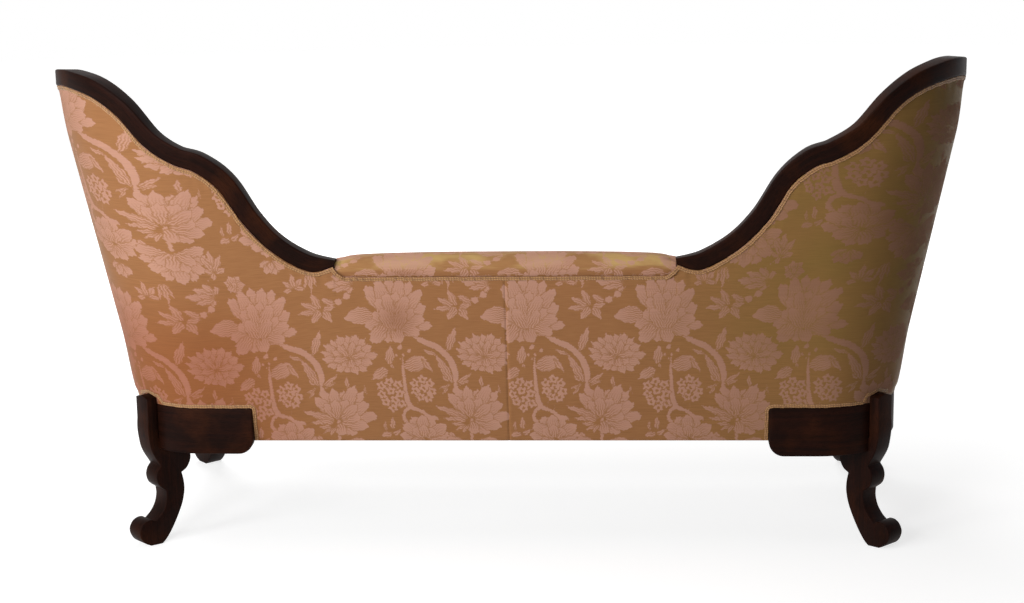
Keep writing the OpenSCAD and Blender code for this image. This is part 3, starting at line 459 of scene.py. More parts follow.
# A motif: its middle, then petals (layer, base x, y, tip x, y, half width, kind), from its middle, in mm
MOTIFS = [
    # Peony
    ((92, 485), [
        (0, -35, 4, -97, -3, 19, "leaf"), (0, -4, -8, -50, 62, 15, "petal"),
        (1, -4, -8, -27, 76, 14, "petal"), (0, 0, -8, -4, 80, 13, "petal"), (1, 2, -8, 18, 77, 13, "petal"),
        (0, 4, -8, 38, 71, 13, "petal"), (1, 6, -8, 58, 53, 14, "petal"), (0, 8, -6, 64, 20, 17, "petal"),
        (1, 10, -14, 62, -6, 14, "petal"), (0, 8, -20, 77, -21, 12, "petal"),
        (1, 8, -20, 52, -38, 13, "petal"), (0, 4, -16, 28, -42, 12, "petal"),
        (1, 0, -14, 12, -57, 14, "petal"), (0, -2, -14, -12, -56, 13, "petal"),
        (1, -10, -12, -43, -56, 16, "petal"), (0, -14, -6, -54, -24, 13, "petal"),
        (2, 0, -14, -30, 36, 13, "petal"), (3, 0, -12, -12, 48, 12, "petal"), (2, 0, -12, 9, 50, 12, "petal"),
        (3, 2, -12, 30, 40, 13, "petal"), (2, 4, -14, 42, 12, 12, "petal"), (2, -4, -12, -40, 4, 12, "petal"),
        (3, 0, -28, -22, 14, 14, "round"), (2, 2, -30, 1, 16, 12, "round"),
        (3, 4, -28, 23, 12, 14, "round")]),
    # Ranunculus
    ((266, 404), [
        (0, 0, -8, -56, 12, 8, "spoon"), (1, 0, -8, -50, 27, 8, "spoon"), (0, 0, -8, -36, 37, 8, "spoon"),
        (1, 0, -8, -20, 44, 9, "spoon"), (0, 0, -8, -2, 44, 9, "spoon"), (1, 0, -8, 16, 45, 9, "spoon"),
        (0, 0, -8, 33, 35, 9, "spoon"), (1, 0, -8, 46, 20, 9, "spoon"), (0, 0, -8, 58, 0, 9, "spoon"),
        (1, 0, -8, 46, -18, 9, "spoon"), (0, 0, -8, 34, -34, 9, "spoon"), (1, 0, -8, 14, -40, 9, "spoon"),
        (0, 0, -8, -8, -36, 9, "spoon"), (1, 0, -8, -26, -32, 9, "spoon"), (0, 0, -8, -44, -20, 9, "spoon"),
        (1, 0, -8, -54, -4, 8, "spoon"), (2, 0, -6, -34, 12, 8, "petal"), (3, 0, -6, -22, 25, 8, "petal"),
        (2, 0, -6, -6, 30, 8, "petal"), (3, 0, -6, 10, 29, 8, "petal"), (2, 0, -6, 25, 20, 8, "petal"),
        (3, 0, -6, 34, 4, 8, "petal"), (2, 0, -6, 24, -18, 9, "petal"), (3, 0, -6, 6, -26, 9, "petal"),
        (2, 0, -6, -14, -22, 9, "petal"), (3, 0, -6, -32, -8, 8, "petal"), (2, -2, -10, -1, 12, 7, "round")]),
    # Lily-like blossom, with its stamens
    ((237, 266), [
        (0, -4, 2, -76, 31, 8, "leaf"), (1, -2, 4, -44, 56, 12, "petal"), (0, -2, 4, -26, 68, 11, "petal"),
        (1, 0, 4, -8, 72, 12, "petal"), (0, 2, 4, 14, 66, 11, "petal"), (1, 2, 4, 36, 74, 14, "petal"),
        (0, 4, 2, 52, 60, 13, "petal"), (1, 4, 2, 62, 36, 14, "petal"), (0, 4, 0, 78, 8, 14, "petal"),
        (1, 2, -2, 58, -16, 14, "petal"), (0, 2, -2, 34, -30, 14, "petal"), (1, 0, -2, 6, -32, 12, "petal"),
        (2, 0, 2, -26, 40, 11, "petal"), (3, 0, 2, -6, 48, 11, "petal"), (2, 2, 2, 18, 46, 12, "petal"),
        (3, 2, 2, 38, 32, 12, "petal"), (2, 2, 0, 44, 8, 12, "petal"), (0, 22, 66, 20, 96, 5, "leaf"),
        (0, -6, 0, -62, 2, 6, "leaf"), (2, -10, -4, -40, 6, 6, "leaf"), (3, -12, -10, -44, -10, 5, "leaf"),
        (2, -10, -12, -34, -24, 5, "leaf"), (3, -6, -12, -20, -30, 5, "leaf")]),
    # Hanging blossom
    ((235, 204), [
        (1, 0, 6, -54, 18, 12, "petal"), (0, 0, 4, -52, -4, 13, "petal"), (1, 0, 2, -42, -28, 13, "petal"),
        (0, 0, 2, -24, -46, 13, "petal"), (1, 0, 2, -2, -54, 13, "petal"), (0, 0, 2, 20, -48, 13, "petal"),
        (1, 0, 2, 40, -32, 13, "petal"), (0, 0, 4, 54, -8, 13, "petal"), (1, 0, 6, 52, 16, 12, "petal"),
        (2, 0, 10, -28, -14, 11, "petal"), (3, 0, 10, -10, -28, 11, "petal"),
        (2, 0, 10, 10, -30, 11, "petal"), (3, 0, 10, 28, -14, 11, "petal"),
        (0, -30, 22, -44, 34, 6, "leaf")]),
    # Bell flower
    ((144, 226), [
        (0, 0, 0, -50, 6, 13, "petal"), (1, 0, 0, -44, 30, 13, "petal"), (0, 0, 2, -26, 46, 12, "petal"),
        (1, 0, 2, -6, 50, 13, "petal"), (0, 2, 2, 16, 44, 12, "petal"), (1, 4, 0, 42, 28, 14, "petal"),
        (0, 4, 0, 50, 4, 12, "petal"), (1, 0, -2, -32, -16, 13, "petal"), (0, 0, -4, -12, -34, 12, "petal"),
        (1, 2, -4, 14, -34, 12, "petal"), (0, 4, -2, 36, -20, 12, "petal"), (2, 0, -2, -24, 20, 11, "petal"),
        (3, 0, -2, -4, 28, 11, "petal"), (2, 2, -2, 18, 20, 11, "petal")]),
    ((138, 172), [
        (0, 0, 12, -20, 2, 8, "petal"), (1, 0, 12, -12, -14, 9, "petal"), (0, 0, 12, 4, -18, 9, "petal"),
        (1, 0, 12, 20, -8, 9, "petal"), (2, 0, 12, -2, -6, 7, "petal")]),
    # Stem with its long leaves
    ((200, 390), [
        (1, -6, 18, 13, 74, 9, "leaf"), (2, 4, -48, -30, 18, 9, "leaf"), (1, -24, 12, -56, 25, 5, "leaf"),
        (1, 8, -48, 45, -22, 5, "leaf"), (1, 10, -52, 40, -38, 4, "leaf"), (1, 2, -48, -28, -60, 4, "leaf"),
        (1, 0, -44, -20, -28, 5, "leaf"), (1, -6, -50, -20, -74, 4, "leaf")]),
    # Hydrangea: bud, leaves and berries above its two heads
    ((104, 384), [
        (0, -24, -2, -19, 40, 10, "leaf"), (0, -28, -10, -60, -32, 12, "drop"),
        (0, 6, -8, 50, 10, 17, "round"), (1, 40, 12, 62, -20, 6, "leaf"), (0, -14, -10, -22, 2, 4, "leaf"),
        (0, 2, -10, 16, 2, 4, "leaf")]),
    # Small sprigs
    ((216, 503), [
        (0, 0, 0, -17, 38, 8, "leaf"), (1, -4, 0, -40, 20, 7, "leaf"), (0, -2, -2, -47, -4, 7, "leaf"),
        (1, 0, -2, -20, -27, 9, "drop"), (0, 6, -2, 21, -27, 9, "drop"), (1, 4, 0, 30, 4, 7, "leaf"),
        (1, 30, 8, 0, 24, 7, "leaf")]),
    ((262, 552), [
        (0, 24, -2, -36, 2, 9, "petal"), (1, 22, 0, -22, 18, 8, "petal"), (0, 22, 2, 0, 27, 8, "petal"),
        (1, 24, 2, 24, 22, 7, "petal"), (1, 20, -4, -26, -14, 7, "leaf"), (0, 18, -6, 6, -20, 6, "leaf"),
        (2, 20, 0, -16, 4, 6, "petal")]),
    ((168, 560), [
        (0, 0, -10, -18, 12, 6, "leaf"), (1, 0, -10, 0, 26, 6, "leaf"), (0, 2, -10, 20, 16, 6, "leaf"),
        (1, 2, -10, 24, -8, 6, "leaf"), (1, -2, -10, -20, -12, 6, "leaf")]),
    ((198, 560), [
        (0, 2, 22, -10, -14, 6, "drop"), (1, 2, 22, 4, -22, 6, "drop"), (0, 2, 22, 14, -8, 6, "drop")]),
    ((61, 573), [
        (0, 0, 0, -18, 8, 9, "round"), (1, 0, 0, -6, 19, 9, "round"), (0, 0, 0, 12, 16, 9, "round"),
        (1, 0, 0, 20, -2, 9, "round"), (0, 0, 0, 8, -18, 9, "round"), (1, 0, 0, -12, -14, 9, "round"),
        (2, 0, -6, 0, 7, 6, "round")]),
    ((293, 616), [
        (0, 0, -16, 0, 36, 8, "leaf"), (1, 0, -14, -21, 24, 7, "leaf"), (1, 0, -14, 22, 24, 7, "leaf"),
        (0, 0, -16, -23, -4, 7, "leaf"), (0, 0, -16, 25, -6, 7, "leaf"), (1, 0, -14, -8, -32, 6, "leaf")]),
    ((72, 240), [
        (0, -6, -2, -7, 26, 4, "leaf"), (0, 8, 2, 9, 33, 6, "leaf"), (1, 8, -4, -18, -10, 7, "leaf"),
        (1, 8, -8, 26, 4, 6, "leaf")]),
    ((27, 330), [(0, 6, -14, 0, 14, 3, "leaf")]),
]

# %% Florets, berries and stems
# Round florets: middle x, y, radius, petals
FLORETS = [(62, 338), (78, 347), (95, 341), (63, 320), (80, 328), (98, 322), (70, 304), (88, 308), (100, 300),
           (84, 291), (128, 344), (143, 352), (157, 343), (129, 327), (146, 334), (161, 326), (138, 315),
           (154, 312)]
BERRIES = [(103, 419, 6), (96, 404, 4), (109, 404, 4), (103, 394, 3), (121, 412, 5), (252, 517, 8),
           (268, 527, 8)]
# Strokes: points x, y and half width
STROKES = [
    [(125, 449, 3), (146, 433, 6), (172, 421, 7), (194, 401, 7), (206, 376, 7), (209, 350, 6), (207, 326, 4)],
    [(108, 404, 1.5), (106, 380, 3), (108, 352, 4), (110, 325, 5), (113, 303, 6), (122, 291, 5),
     (140, 283, 4), (152, 272, 5), (168, 268, 5)],
    [(244, 512, 2), (252, 517, 2), (268, 527, 2), (285, 545, 1.5)],
    [(262, 572, 1), (280, 590, 1.5), (293, 604, 2)],
    [(118, 293, 4), (106, 284, 4), (104, 268, 4), (112, 256, 4)],
    [(205, 330, 5), (222, 300, 4), (237, 268, 4)],
    [(130, 297, 1.2), (134, 306, 0.8)], [(144, 290, 1.2), (147, 303, 0.8)], [(237, 268, 4), (236, 220, 4)],
]


# %% From the tables to stored fields


def petal_field(x, y, base_x, base_y, tip_x, tip_y, half_width, kind):
    """How far inside a petal each point lies, with its place across and along the petal."""
    power, blunt = KINDS[kind]
    length = math.hypot(tip_x - base_x, tip_y - base_y)
    way_x, way_y = (tip_x - base_x) / length, (tip_y - base_y) / length
    along = ((x - base_x) * way_x + (y - base_y) * way_y) / length
    across = (y - base_y) * way_x - (x - base_x) * way_y
    held = np.clip(along, 0.002, 0.998)
    width = half_width * np.sin(math.pi * held ** power) ** blunt
    if kind != "leaf":
        tooth = TOOTH_DEPTH_MM * np.cos(across * (2 * math.pi / TOOTH_MM))
        width = width + tooth * np.clip(along * 3 - 1.6, 0, 1)
    return width - np.abs(across) - np.abs(along - held) * length, across, along


def figure(cloth):
    """Fields of the figure at points of the cloth, in mm: four layers, and the place in the top petal."""
    x, y = cloth[:, 0], cloth[:, 1]
    layers = np.full((len(x), 4), -float(FIELD_MM))
    petal = np.zeros((len(x), 2))
    best = np.full(len(x), -float(FIELD_MM))

    def near(middle, reach):
        """Points around one copy of a motif, from its middle, with edges that waver as woven ones do."""
        dx = (x - middle[0] + REPEAT[0] / 2) % REPEAT[0] - REPEAT[0] / 2
        dy = (y - middle[1] + REPEAT[1] / 2) % REPEAT[1] - REPEAT[1] / 2
        who = np.flatnonzero((np.abs(dx) < reach) & (np.abs(dy) < reach))
        dx, dy = dx[who], dy[who]
        return who, dx + 0.9 * np.sin(dy * 0.42 + middle[0]) + 0.6 * np.sin(dy * 0.93 + dx * 0.3), \
            dy + 0.9 * np.sin(dx * 0.42 + middle[1]) + 0.6 * np.sin(dx * 0.89 - dy * 0.35)

    def lay(who, layer, field, across=None, along=None):
        layers[who, layer] = np.maximum(layers[who, layer], field)
        rank = np.where(field > 0, layer + 1 + np.clip(field, 0, 30) / 100, -FIELD_MM)
        better = rank > best[who]
        chosen = who[better]
        best[chosen] = rank[better]
        petal[chosen] = (VEIN_MM / 2, 1) if across is None else np.column_stack([across, along])[better]

    for middle, petals in MOTIFS:
        who, dx, dy = near(middle, MOTIF_REACH)
        if len(who):
            for layer, *shape in petals:
                lay(who, layer, *petal_field(dx, dy, *shape))
    for number, middle in enumerate(FLORETS):
        who, dx, dy = near(middle, ROUND_REACH)
        reach = np.hypot(dx, dy)
        edge = 9.5 * (1 + 0.2 * np.cos(5 * np.arctan2(dy, dx) + number))
        lay(who, 2 + number % 2, np.minimum(edge - reach, reach - 1.8))
    for mx, my, radius in BERRIES:
        who, dx, dy = near((mx, my), ROUND_REACH)
        lay(who, 1, radius - np.hypot(dx, dy))
    for stroke in STROKES:
        curve = spline([list(p) for p in stroke], 5)
        for (ax, ay, aw), (bx, by, bw) in zip(curve, curve[1:]):
            who, dx, dy = near((ax, ay), STROKE_REACH)
            vx, vy = bx - ax, by - ay
            t = np.clip((dx * vx + dy * vy) / (vx * vx + vy * vy), 0, 1)
            lay(who, 0, aw + (bw - aw) * t - np.hypot(dx - t * vx, dy - t * vy))
    return np.clip(layers, -FIELD_MM, FIELD_MM), petal


def weave(obj):
    """Stores the figure on a piece that already holds its cloth coordinates."""
    layers, petal = figure(got(obj, "cloth_mm"))
    put(obj, "figure_low", layers[:, :3])
    put(obj, "figure_top", np.column_stack([layers[:, 3], petal]))


print("motifs:", len(MOTIFS), "petals:", sum(len(m[1]) for m in MOTIFS))

# %% [markdown]
# ## Silk damask
# The figure is a matt weft-faced rose, and the ground is a golden warp satin that shines. The material turns
# the stored fields into a mask: each layer of petals covers the one below, and leaves a thin line of ground
# round itself. Veins run along each petal from its base. Towards the right end, which turns away from the
# light, both colours are painted darker and more olive, as painted shade and painted satin sheen. Fine ribs
# of thread, slubs and a slow change of colour from wear and light keep it from looking printed. The real
# threads are about 0.3 mm apart, which is too fine to show from here, so the ribs are drawn 1.4 mm apart. The
# roll has a copy of the material, on which the satin's sheen is painted as patches of bright gold.

# %% Damask: the figure
ROSE, ROSE_FADED, ROSE_SHADE_SHEEN, ROSE_GOLD_SHEEN = "#b68671", "#bd907b", "#8f674f", "#bd917a"
GROUND, GROUND_DEEP, GROUND_SHADE_SHEEN, GROUND_GOLD_SHEEN = "#a1724b", "#956643", "#86683a", "#be9b64"
ROSE_RED, GROUND_RED, STAIN = "#a8705a", "#925c39", "#86573a"
STAIN_PLACE = (-163, 478, 0)
LINE_MM, EDGE_MM, RIB_MM = 1.2, 1.5, 1.4
# The third cloth coordinate holds how much painted shade and satin sheen the cloth gets, as a length, so that
# it stays in millimetres: darker and olive at the right end, and bright gold on the roll. Below zero the
# cloth is redder than elsewhere, as at the foot of the left corner
TONE_SHIFT_MM = 100
damask, tree = new_material("silk_damask_rose_on_gold")
low = add(tree, "Attribute", attribute_name="figure_low")
top = add(tree, "Attribute", attribute_name="figure_top")
cloth = add(tree, "Attribute", attribute_name="cloth_mm")
low_parts = add(tree, "SeparateXYZ", {0: low.outputs["Vector"]})
top_parts = add(tree, "SeparateXYZ", {0: top.outputs["Vector"]})
cloth_parts = add(tree, "SeparateXYZ", {0: cloth.outputs["Vector"]})
# The steps of the weave make every edge a little ragged
ragged = add(tree, "TexNoise", {"Vector": cloth.outputs["Vector"], "Scale": 0.34, "Detail": 2.0}).outputs[0]
ragged_mm = add(tree, "Math", {0: ragged, 1: 5.0, 2: -2.5}, operation="MULTIPLY_ADD").outputs[0]
mask = None
for stored in (low_parts.outputs[0], low_parts.outputs[1], low_parts.outputs[2], top_parts.outputs[0]):
    field = add(tree, "Math", {0: stored, 1: ragged_mm}, operation="ADD").outputs[0]
    inside = add(tree, "Math", {0: field, 1: 1 / EDGE_MM, 2: 0.5 - LINE_MM / EDGE_MM},
                 operation="MULTIPLY_ADD", use_clamp=True).outputs[0]
    outside = add(tree, "Math", {0: field, 1: -1 / EDGE_MM, 2: 0.5}, operation="MULTIPLY_ADD",
                  use_clamp=True).outputs[0]
    if mask is None:
        mask = inside
    else:
        under = add(tree, "Math", {0: mask, 1: outside}, operation="MULTIPLY").outputs[0]
        mask = add(tree, "Math", {0: under, 1: inside}, operation="MAXIMUM").outputs[0]
# Veins: thin lines that fade towards the tip
vein_wave = add(tree, "Math", {0: top_parts.outputs[1], 1: VEIN_MM / 2}, operation="PINGPONG").outputs[0]
vein_wave = add(tree, "Math", {0: ragged_mm, 1: 0.35, 2: vein_wave}, operation="MULTIPLY_ADD").outputs[0]
vein = add(tree, "Math", {0: vein_wave, 1: -0.9, 2: 1.3}, operation="MULTIPLY_ADD", use_clamp=True).outputs[0]
vein_fade = add(tree, "Math", {0: top_parts.outputs[2], 1: -1.8, 2: 1.6}, operation="MULTIPLY_ADD",
                use_clamp=True).outputs[0]
vein_cut = add(tree, "Math", {0: vein, 1: vein_fade}, operation="MULTIPLY").outputs[0]
vein_left = add(tree, "Math", {0: vein_cut, 1: -0.8, 2: 1.0}, operation="MULTIPLY_ADD").outputs[0]
figure_mask = add(tree, "Math", {0: mask, 1: vein_left}, operation="MULTIPLY").outputs[0]

# %% Damask: colours and wear
# Slow random changes of tone, patches in the painted shade and sheen, and slubs along the weft
tone_noise = add(tree, "TexNoise", {"Vector": cloth.outputs["Vector"], "Scale": 0.011,
                                    "Detail": 3.0}).outputs[0]
slub_place = add(tree, "VectorMath", {0: cloth.outputs["Vector"], 1: (0.03, 0.9, 0.03)}, operation="MULTIPLY")
slub = add(tree, "TexNoise", {"Vector": slub_place.outputs[0], "Scale": 1.0, "Detail": 2.0}).outputs[0]
shade_sheen_patch = add(tree, "MapRange", {0: tone_noise, 1: 0.35, 2: 0.65, 3: 0.75, 4: 1.0}).outputs[0]
shade_sheen_place = add(tree, "Math", {0: cloth_parts.outputs[2], 1: 1 / TONE_SHIFT_MM}, operation="MULTIPLY").outputs[0]
shade_sheen_mask = add(tree, "Math", {0: shade_sheen_place, 1: shade_sheen_patch}, operation="MULTIPLY", use_clamp=True).outputs[0]
redder = add(tree, "Math", {0: cloth_parts.outputs[2], 1: -1 / TONE_SHIFT_MM}, operation="MULTIPLY",
             use_clamp=True).outputs[0]
rose_even = add(tree, "Mix", {0: tone_noise, 6: paint(ROSE), 7: paint(ROSE_FADED)},
                data_type="RGBA").outputs[2]
ground_even = add(tree, "Mix", {0: slub, 6: paint(GROUND_DEEP), 7: paint(GROUND)},
                  data_type="RGBA").outputs[2]
rose_red = add(tree, "Mix", {0: redder, 6: rose_even, 7: paint(ROSE_RED)}, data_type="RGBA").outputs[2]
ground_red = add(tree, "Mix", {0: redder, 6: ground_even, 7: paint(GROUND_RED)}, data_type="RGBA").outputs[2]
# Painted shade and satin sheen: where the stored share is high, the rose and the ground turn darker and olive
rose = add(tree, "Mix", {0: shade_sheen_mask, 6: rose_red, 7: paint(ROSE_SHADE_SHEEN)}, data_type="RGBA").outputs[2]
ground = add(tree, "Mix", {0: shade_sheen_mask, 6: ground_red, 7: paint(GROUND_SHADE_SHEEN)}, data_type="RGBA").outputs[2]
clean = add(tree, "Mix", {0: figure_mask, 6: ground, 7: rose}, data_type="RGBA").outputs[2]
# A brownish stain on the left half of the back
from_stain = add(tree, "VectorMath", {0: cloth.outputs["Vector"], 1: STAIN_PLACE}, operation="DISTANCE")
stain_edge = add(tree, "Math", {0: ragged_mm, 1: 3.0, 2: from_stain.outputs["Value"]},
                 operation="MULTIPLY_ADD").outputs[0]
stain = add(tree, "MapRange", {0: stain_edge, 1: 8, 2: 44, 3: 0.4, 4: 0.0}).outputs[0]
cloth_colour = add(tree, "Mix", {0: stain, 6: clean, 7: paint(STAIN)}, data_type="RGBA").outputs[2]
slub_shade = add(tree, "MapRange", {0: slub, 1: 0.3, 2: 0.7, 3: 0.93, 4: 1.06}).outputs[0]
colour = add(tree, "VectorMath", {0: cloth_colour, 1: slub_shade}, operation="MULTIPLY")

# %% Damask: ribs and gloss, and the roll's copy with painted sheen
# Thread ribs and the raised figure
rib_phase = add(tree, "Math", {0: cloth_parts.outputs[1], 1: 2 * math.pi / RIB_MM},
                operation="MULTIPLY").outputs[0]
rib = add(tree, "Math", {0: rib_phase}, operation="SINE").outputs[0]
height = add(tree, "Math", {0: rib, 1: 0.12, 2: figure_mask}, operation="MULTIPLY_ADD").outputs[0]
bump = add(tree, "Bump", {"Strength": 0.35, "Distance": 0.0004, "Height": height})
shine = add(tree, "MapRange", {0: figure_mask, 1: 0, 2: 1, 3: 0.44, 4: 0.66}).outputs[0]
silk = add(tree, "BsdfPrincipled", {"Base Color": colour.outputs[0], "Roughness": shine,
                                    "Normal": bump.outputs[0], "Sheen Weight": 0.02, "Sheen Roughness": 0.4,
                                    "Specular IOR Level": 0.035, "Specular Tint": paint("#f0dcae")})
add(tree, "OutputMaterial", {"Surface": silk.outputs[0]})
# The roll's copy paints a gold sheen instead: its rose and ground turn bright gold in patches where the
# stored share is high
roll_damask = damask.copy()
roll_damask.name = "silk_damask_painted_gold_sheen"
roll_nodes = roll_damask.node_tree.nodes
roll_nodes[rose.node.name].inputs[7].default_value = paint(ROSE_GOLD_SHEEN)
roll_nodes[ground.node.name].inputs[7].default_value = paint(GROUND_GOLD_SHEEN)
for socket, value in zip((1, 2, 3), (0.38, 0.56, 0.15)):
    roll_nodes[shade_sheen_patch.node.name].inputs[socket].default_value = value
print(damask.name, "has", len(damask.node_tree.nodes), "nodes")

# %% [markdown]
# ## Dark mahogany
# The show wood is mahogany with a dark stain and an old french polish. Its grain runs along each piece, so it
# reads a stored vector: along the grain, across it and into the wood, in millimetres. Growth bands are about
# 9 mm apart, and the pores are short dark dashes. The polish gives a soft gloss that handling has broken up.

# %% Wood material
MAHOGANY_DARK, MAHOGANY, MAHOGANY_RED = "#180a06", "#27110a", "#40200f"
mahogany, tree = new_material("mahogany_french_polished")
grain = add(tree, "Attribute", attribute_name="grain_mm")
band_place = add(tree, "VectorMath", {0: grain.outputs["Vector"], 1: (0.006, 0.11, 0.11)},
                 operation="MULTIPLY")
bands = add(tree, "TexNoise", {"Vector": band_place.outputs[0], "Scale": 1.0, "Detail": 4.0,
                               "Distortion": 0.6}).outputs[0]
pore_place = add(tree, "VectorMath", {0: grain.outputs["Vector"], 1: (0.09, 1.1, 1.1)}, operation="MULTIPLY")
pores = add(tree, "TexNoise", {"Vector": pore_place.outputs[0], "Scale": 1.0, "Detail": 2.0}).outputs[0]
blotch = add(tree, "TexNoise", {"Vector": grain.outputs["Vector"], "Scale": 0.012, "Detail": 3.0}).outputs[0]
band_ramp = add(tree, "ValToRGB", {0: bands})
band_ramp.color_ramp.elements[0].position, band_ramp.color_ramp.elements[1].position = 0.35, 0.7
band_ramp.color_ramp.elements[0].color = paint(MAHOGANY_DARK)
band_ramp.color_ramp.elements[1].color = paint(MAHOGANY)
red_share = add(tree, "MapRange", {0: blotch, 1: 0.5, 2: 0.75, 3: 0.0, 4: 0.6}).outputs[0]
wood_colour = add(tree, "Mix", {0: red_share, 6: band_ramp.outputs[0], 7: paint(MAHOGANY_RED)},
                  data_type="RGBA").outputs[2]
pore_shade = add(tree, "MapRange", {0: pores, 1: 0.36, 2: 0.5, 3: 0.55, 4: 1.0}).outputs[0]
wood = add(tree, "VectorMath", {0: wood_colour, 1: pore_shade}, operation="MULTIPLY")
wood_rough = add(tree, "MapRange", {0: blotch, 1: 0.3, 2: 0.7, 3: 0.42, 4: 0.55}).outputs[0]
wood_bump = add(tree, "Bump", {"Strength": 0.15, "Distance": 0.0003, "Height": pores})
polish = add(tree, "BsdfPrincipled", {"Base Color": wood.outputs[0], "Roughness": wood_rough,
                                      "Normal": wood_bump.outputs[0], "Specular IOR Level": 0.045})
add(tree, "OutputMaterial", {"Surface": polish.outputs[0]})
print(mahogany.name, "has", len(mahogany.node_tree.nodes), "nodes")

# %% [markdown]
# ## Gimp, inner wood, cloth and metal
# Gimp is a narrow braid of gold rayon round a core, tacked or glued over the fabric's edge. The material
# reads the braid's stored height and paints its colour from it: a painted highlight on the crowns and painted
# shade in the valleys. The frame under the fabric is pale beech, which hardly shows. The dust cover is dark
# cambric, the webbing and burlap are jute, and springs and bolts are steel.

# %% Other materials
GIMP_CROWN_HIGHLIGHT, GIMP_VALLEY_SHADE = "#c4935a", "#6a3f1e"
gimp, tree = new_material("gimp_braid_gold_rayon")
strand = add(tree, "Attribute", attribute_name="strand")
strand_parts = add(tree, "SeparateXYZ", {0: strand.outputs["Vector"]})
worn = add(tree, "TexNoise", {"Vector": strand.outputs["Vector"], "Scale": 0.16, "Detail": 3.0}).outputs[0]
worn_share = add(tree, "MapRange", {0: worn, 1: 0.52, 2: 0.7, 3: 1.0, 4: 0.2}).outputs[0]
strand_share = add(tree, "Math", {0: strand_parts.outputs[0], 1: worn_share}, operation="MULTIPLY").outputs[0]
# Painted highlight on the braid's crowns and painted shade in its valleys, taken from the stored height
gimp_colour = add(tree, "Mix", {0: strand_share, 6: paint(GIMP_VALLEY_SHADE), 7: paint(GIMP_CROWN_HIGHLIGHT)},
                  data_type="RGBA").outputs[2]
thread = add(tree, "Math", {0: strand_parts.outputs[1], 1: 9.0}, operation="MULTIPLY").outputs[0]
thread_wave = add(tree, "Math", {0: thread}, operation="SINE").outputs[0]
gimp_bump = add(tree, "Bump", {"Strength": 0.3, "Distance": 0.0002, "Height": thread_wave})
rayon = add(tree, "BsdfPrincipled", {"Base Color": gimp_colour, "Roughness": 0.5,
                                     "Normal": gimp_bump.outputs[0], "Sheen Weight": 0.2})
add(tree, "OutputMaterial", {"Surface": rayon.outputs[0]})


def plain_material(name, dark, light, scale, rough, metal=0.0, stretch=(1, 1, 1)):
    """A finish with one noise in two colours, for pieces that hardly show. scale is in grains per metre."""
    material, tree = new_material(name)
    place = add(tree, "TexCoord")
    drawn = add(tree, "VectorMath", {0: place.outputs["Object"], 1: stretch}, operation="MULTIPLY")
    noise = add(tree, "TexNoise", {"Vector": drawn.outputs[0], "Scale": scale, "Detail": 4.0}).outputs[0]
    mixed = add(tree, "Mix", {0: noise, 6: paint(dark), 7: paint(light)}, data_type="RGBA").outputs[2]
    relief = add(tree, "Bump", {"Strength": 0.3, "Distance": 0.0005, "Height": noise})
    surface = add(tree, "BsdfPrincipled", {"Base Color": mixed, "Roughness": rough, "Metallic": metal,
                                           "Normal": relief.outputs[0]})
    add(tree, "OutputMaterial", {"Surface": surface.outputs[0]})
    return material


beech = plain_material("beech_rough_sawn", "#8f6b45", "#b48c60", 120, 0.75, stretch=(0.15, 1, 1))
jute = plain_material("jute_woven", "#7d6842", "#ab9466", 900, 0.9)
cambric = plain_material("cambric_dyed_black", "#1f1c1a", "#35302c", 1100, 0.9)
steel = plain_material("steel_drawn_wire", "#6f7275", "#9a9da1", 400, 0.4, metal=1.0)
for name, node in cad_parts.items():
    if "spring" in name or "bolt" in name:
        finish, slot = steel, "spring_steel" if "spring" in name else "bolt_steel"
    elif name in ("seat_burlap", "seat_webbing"):
        finish, slot = jute, "jute"
    elif "rail" in name or "post" in name or "brace" in name:
        finish, slot = beech, "frame_wood"
    else:
        continue
    node.data.materials.clear()
    node.data.materials.append(finish)

# %% [markdown]
# ## Outside cover
# Each half of the outside cover is one piece of damask, pulled over the back, round the corner and over the
# end, with a sewn seam at the middle of the back. It is cut away round the corner blocks, follows the crest
# above, and turns under the rails below. A grid with even cells gives the figure enough vertices. Its rows
# above the crest line are pressed down onto that line, and the flat cells that come of it are removed.

# %% Cloth on the body
COVER_CELL, COVER_END_CELL, BORDER_CELL = 2.6, 3.8, 3.0
# The cloth turns under the rail, in and up under the crest, and is pulled in a little at each tack
TURN_UNDER, TUCK_IN, TUCK_UP = 14, 6, 2.5
TACK_MM, TACK_PULL, TACK_REACH = 21, 0.5, 45
# How far the pattern is shifted along each half, pulled outward near the ear, and dropped on the left
SHIFT_LEFT, SHIFT_RIGHT, PULLED, DROPPED = 47, 54, 28, 30
# Swell of the cloth on the flat and at the foot of the ends, and depth of the sewn seam
SWELL, FOOT_SWELL, SEAM_DEPTH = 1.6, 5.0, 1.6


def cloth_on_body(s, z):
    """Where the woven pattern lies on the body, and how much painted shade and sheen, or redder tone, the
    cloth gets there. The cloth was pulled outward towards each ear.
    """
    a = np.abs(s)
    pulled = PULLED * smooth((z - 480) / 200) * smooth((a - 350) / 170)
    dropped = np.where(np.asarray(s) > 0, DROPPED * smooth((a - 250) / 380), 0)
    across = np.where(np.asarray(s) < 0, SHIFT_RIGHT + a - pulled, SHIFT_LEFT - a + pulled)
    # Painted shade and satin sheen towards the right end: more at the top, and less round the end itself
    shade_sheen_share = (smooth((-s - 160) / 460) * (0.55 + 0.45 * smooth((z - 300) / 200)) *
             (1 - 0.65 * smooth((-s - S_END) / 90)))
    redder = smooth((s - 330) / 260) * smooth((600 - z) / 220) * (1 - 0.5 * smooth((s - S_END) / 150))
    return np.stack([across, z + dropped, TONE_SHIFT_MM * (shade_sheen_share - redder)], -1)


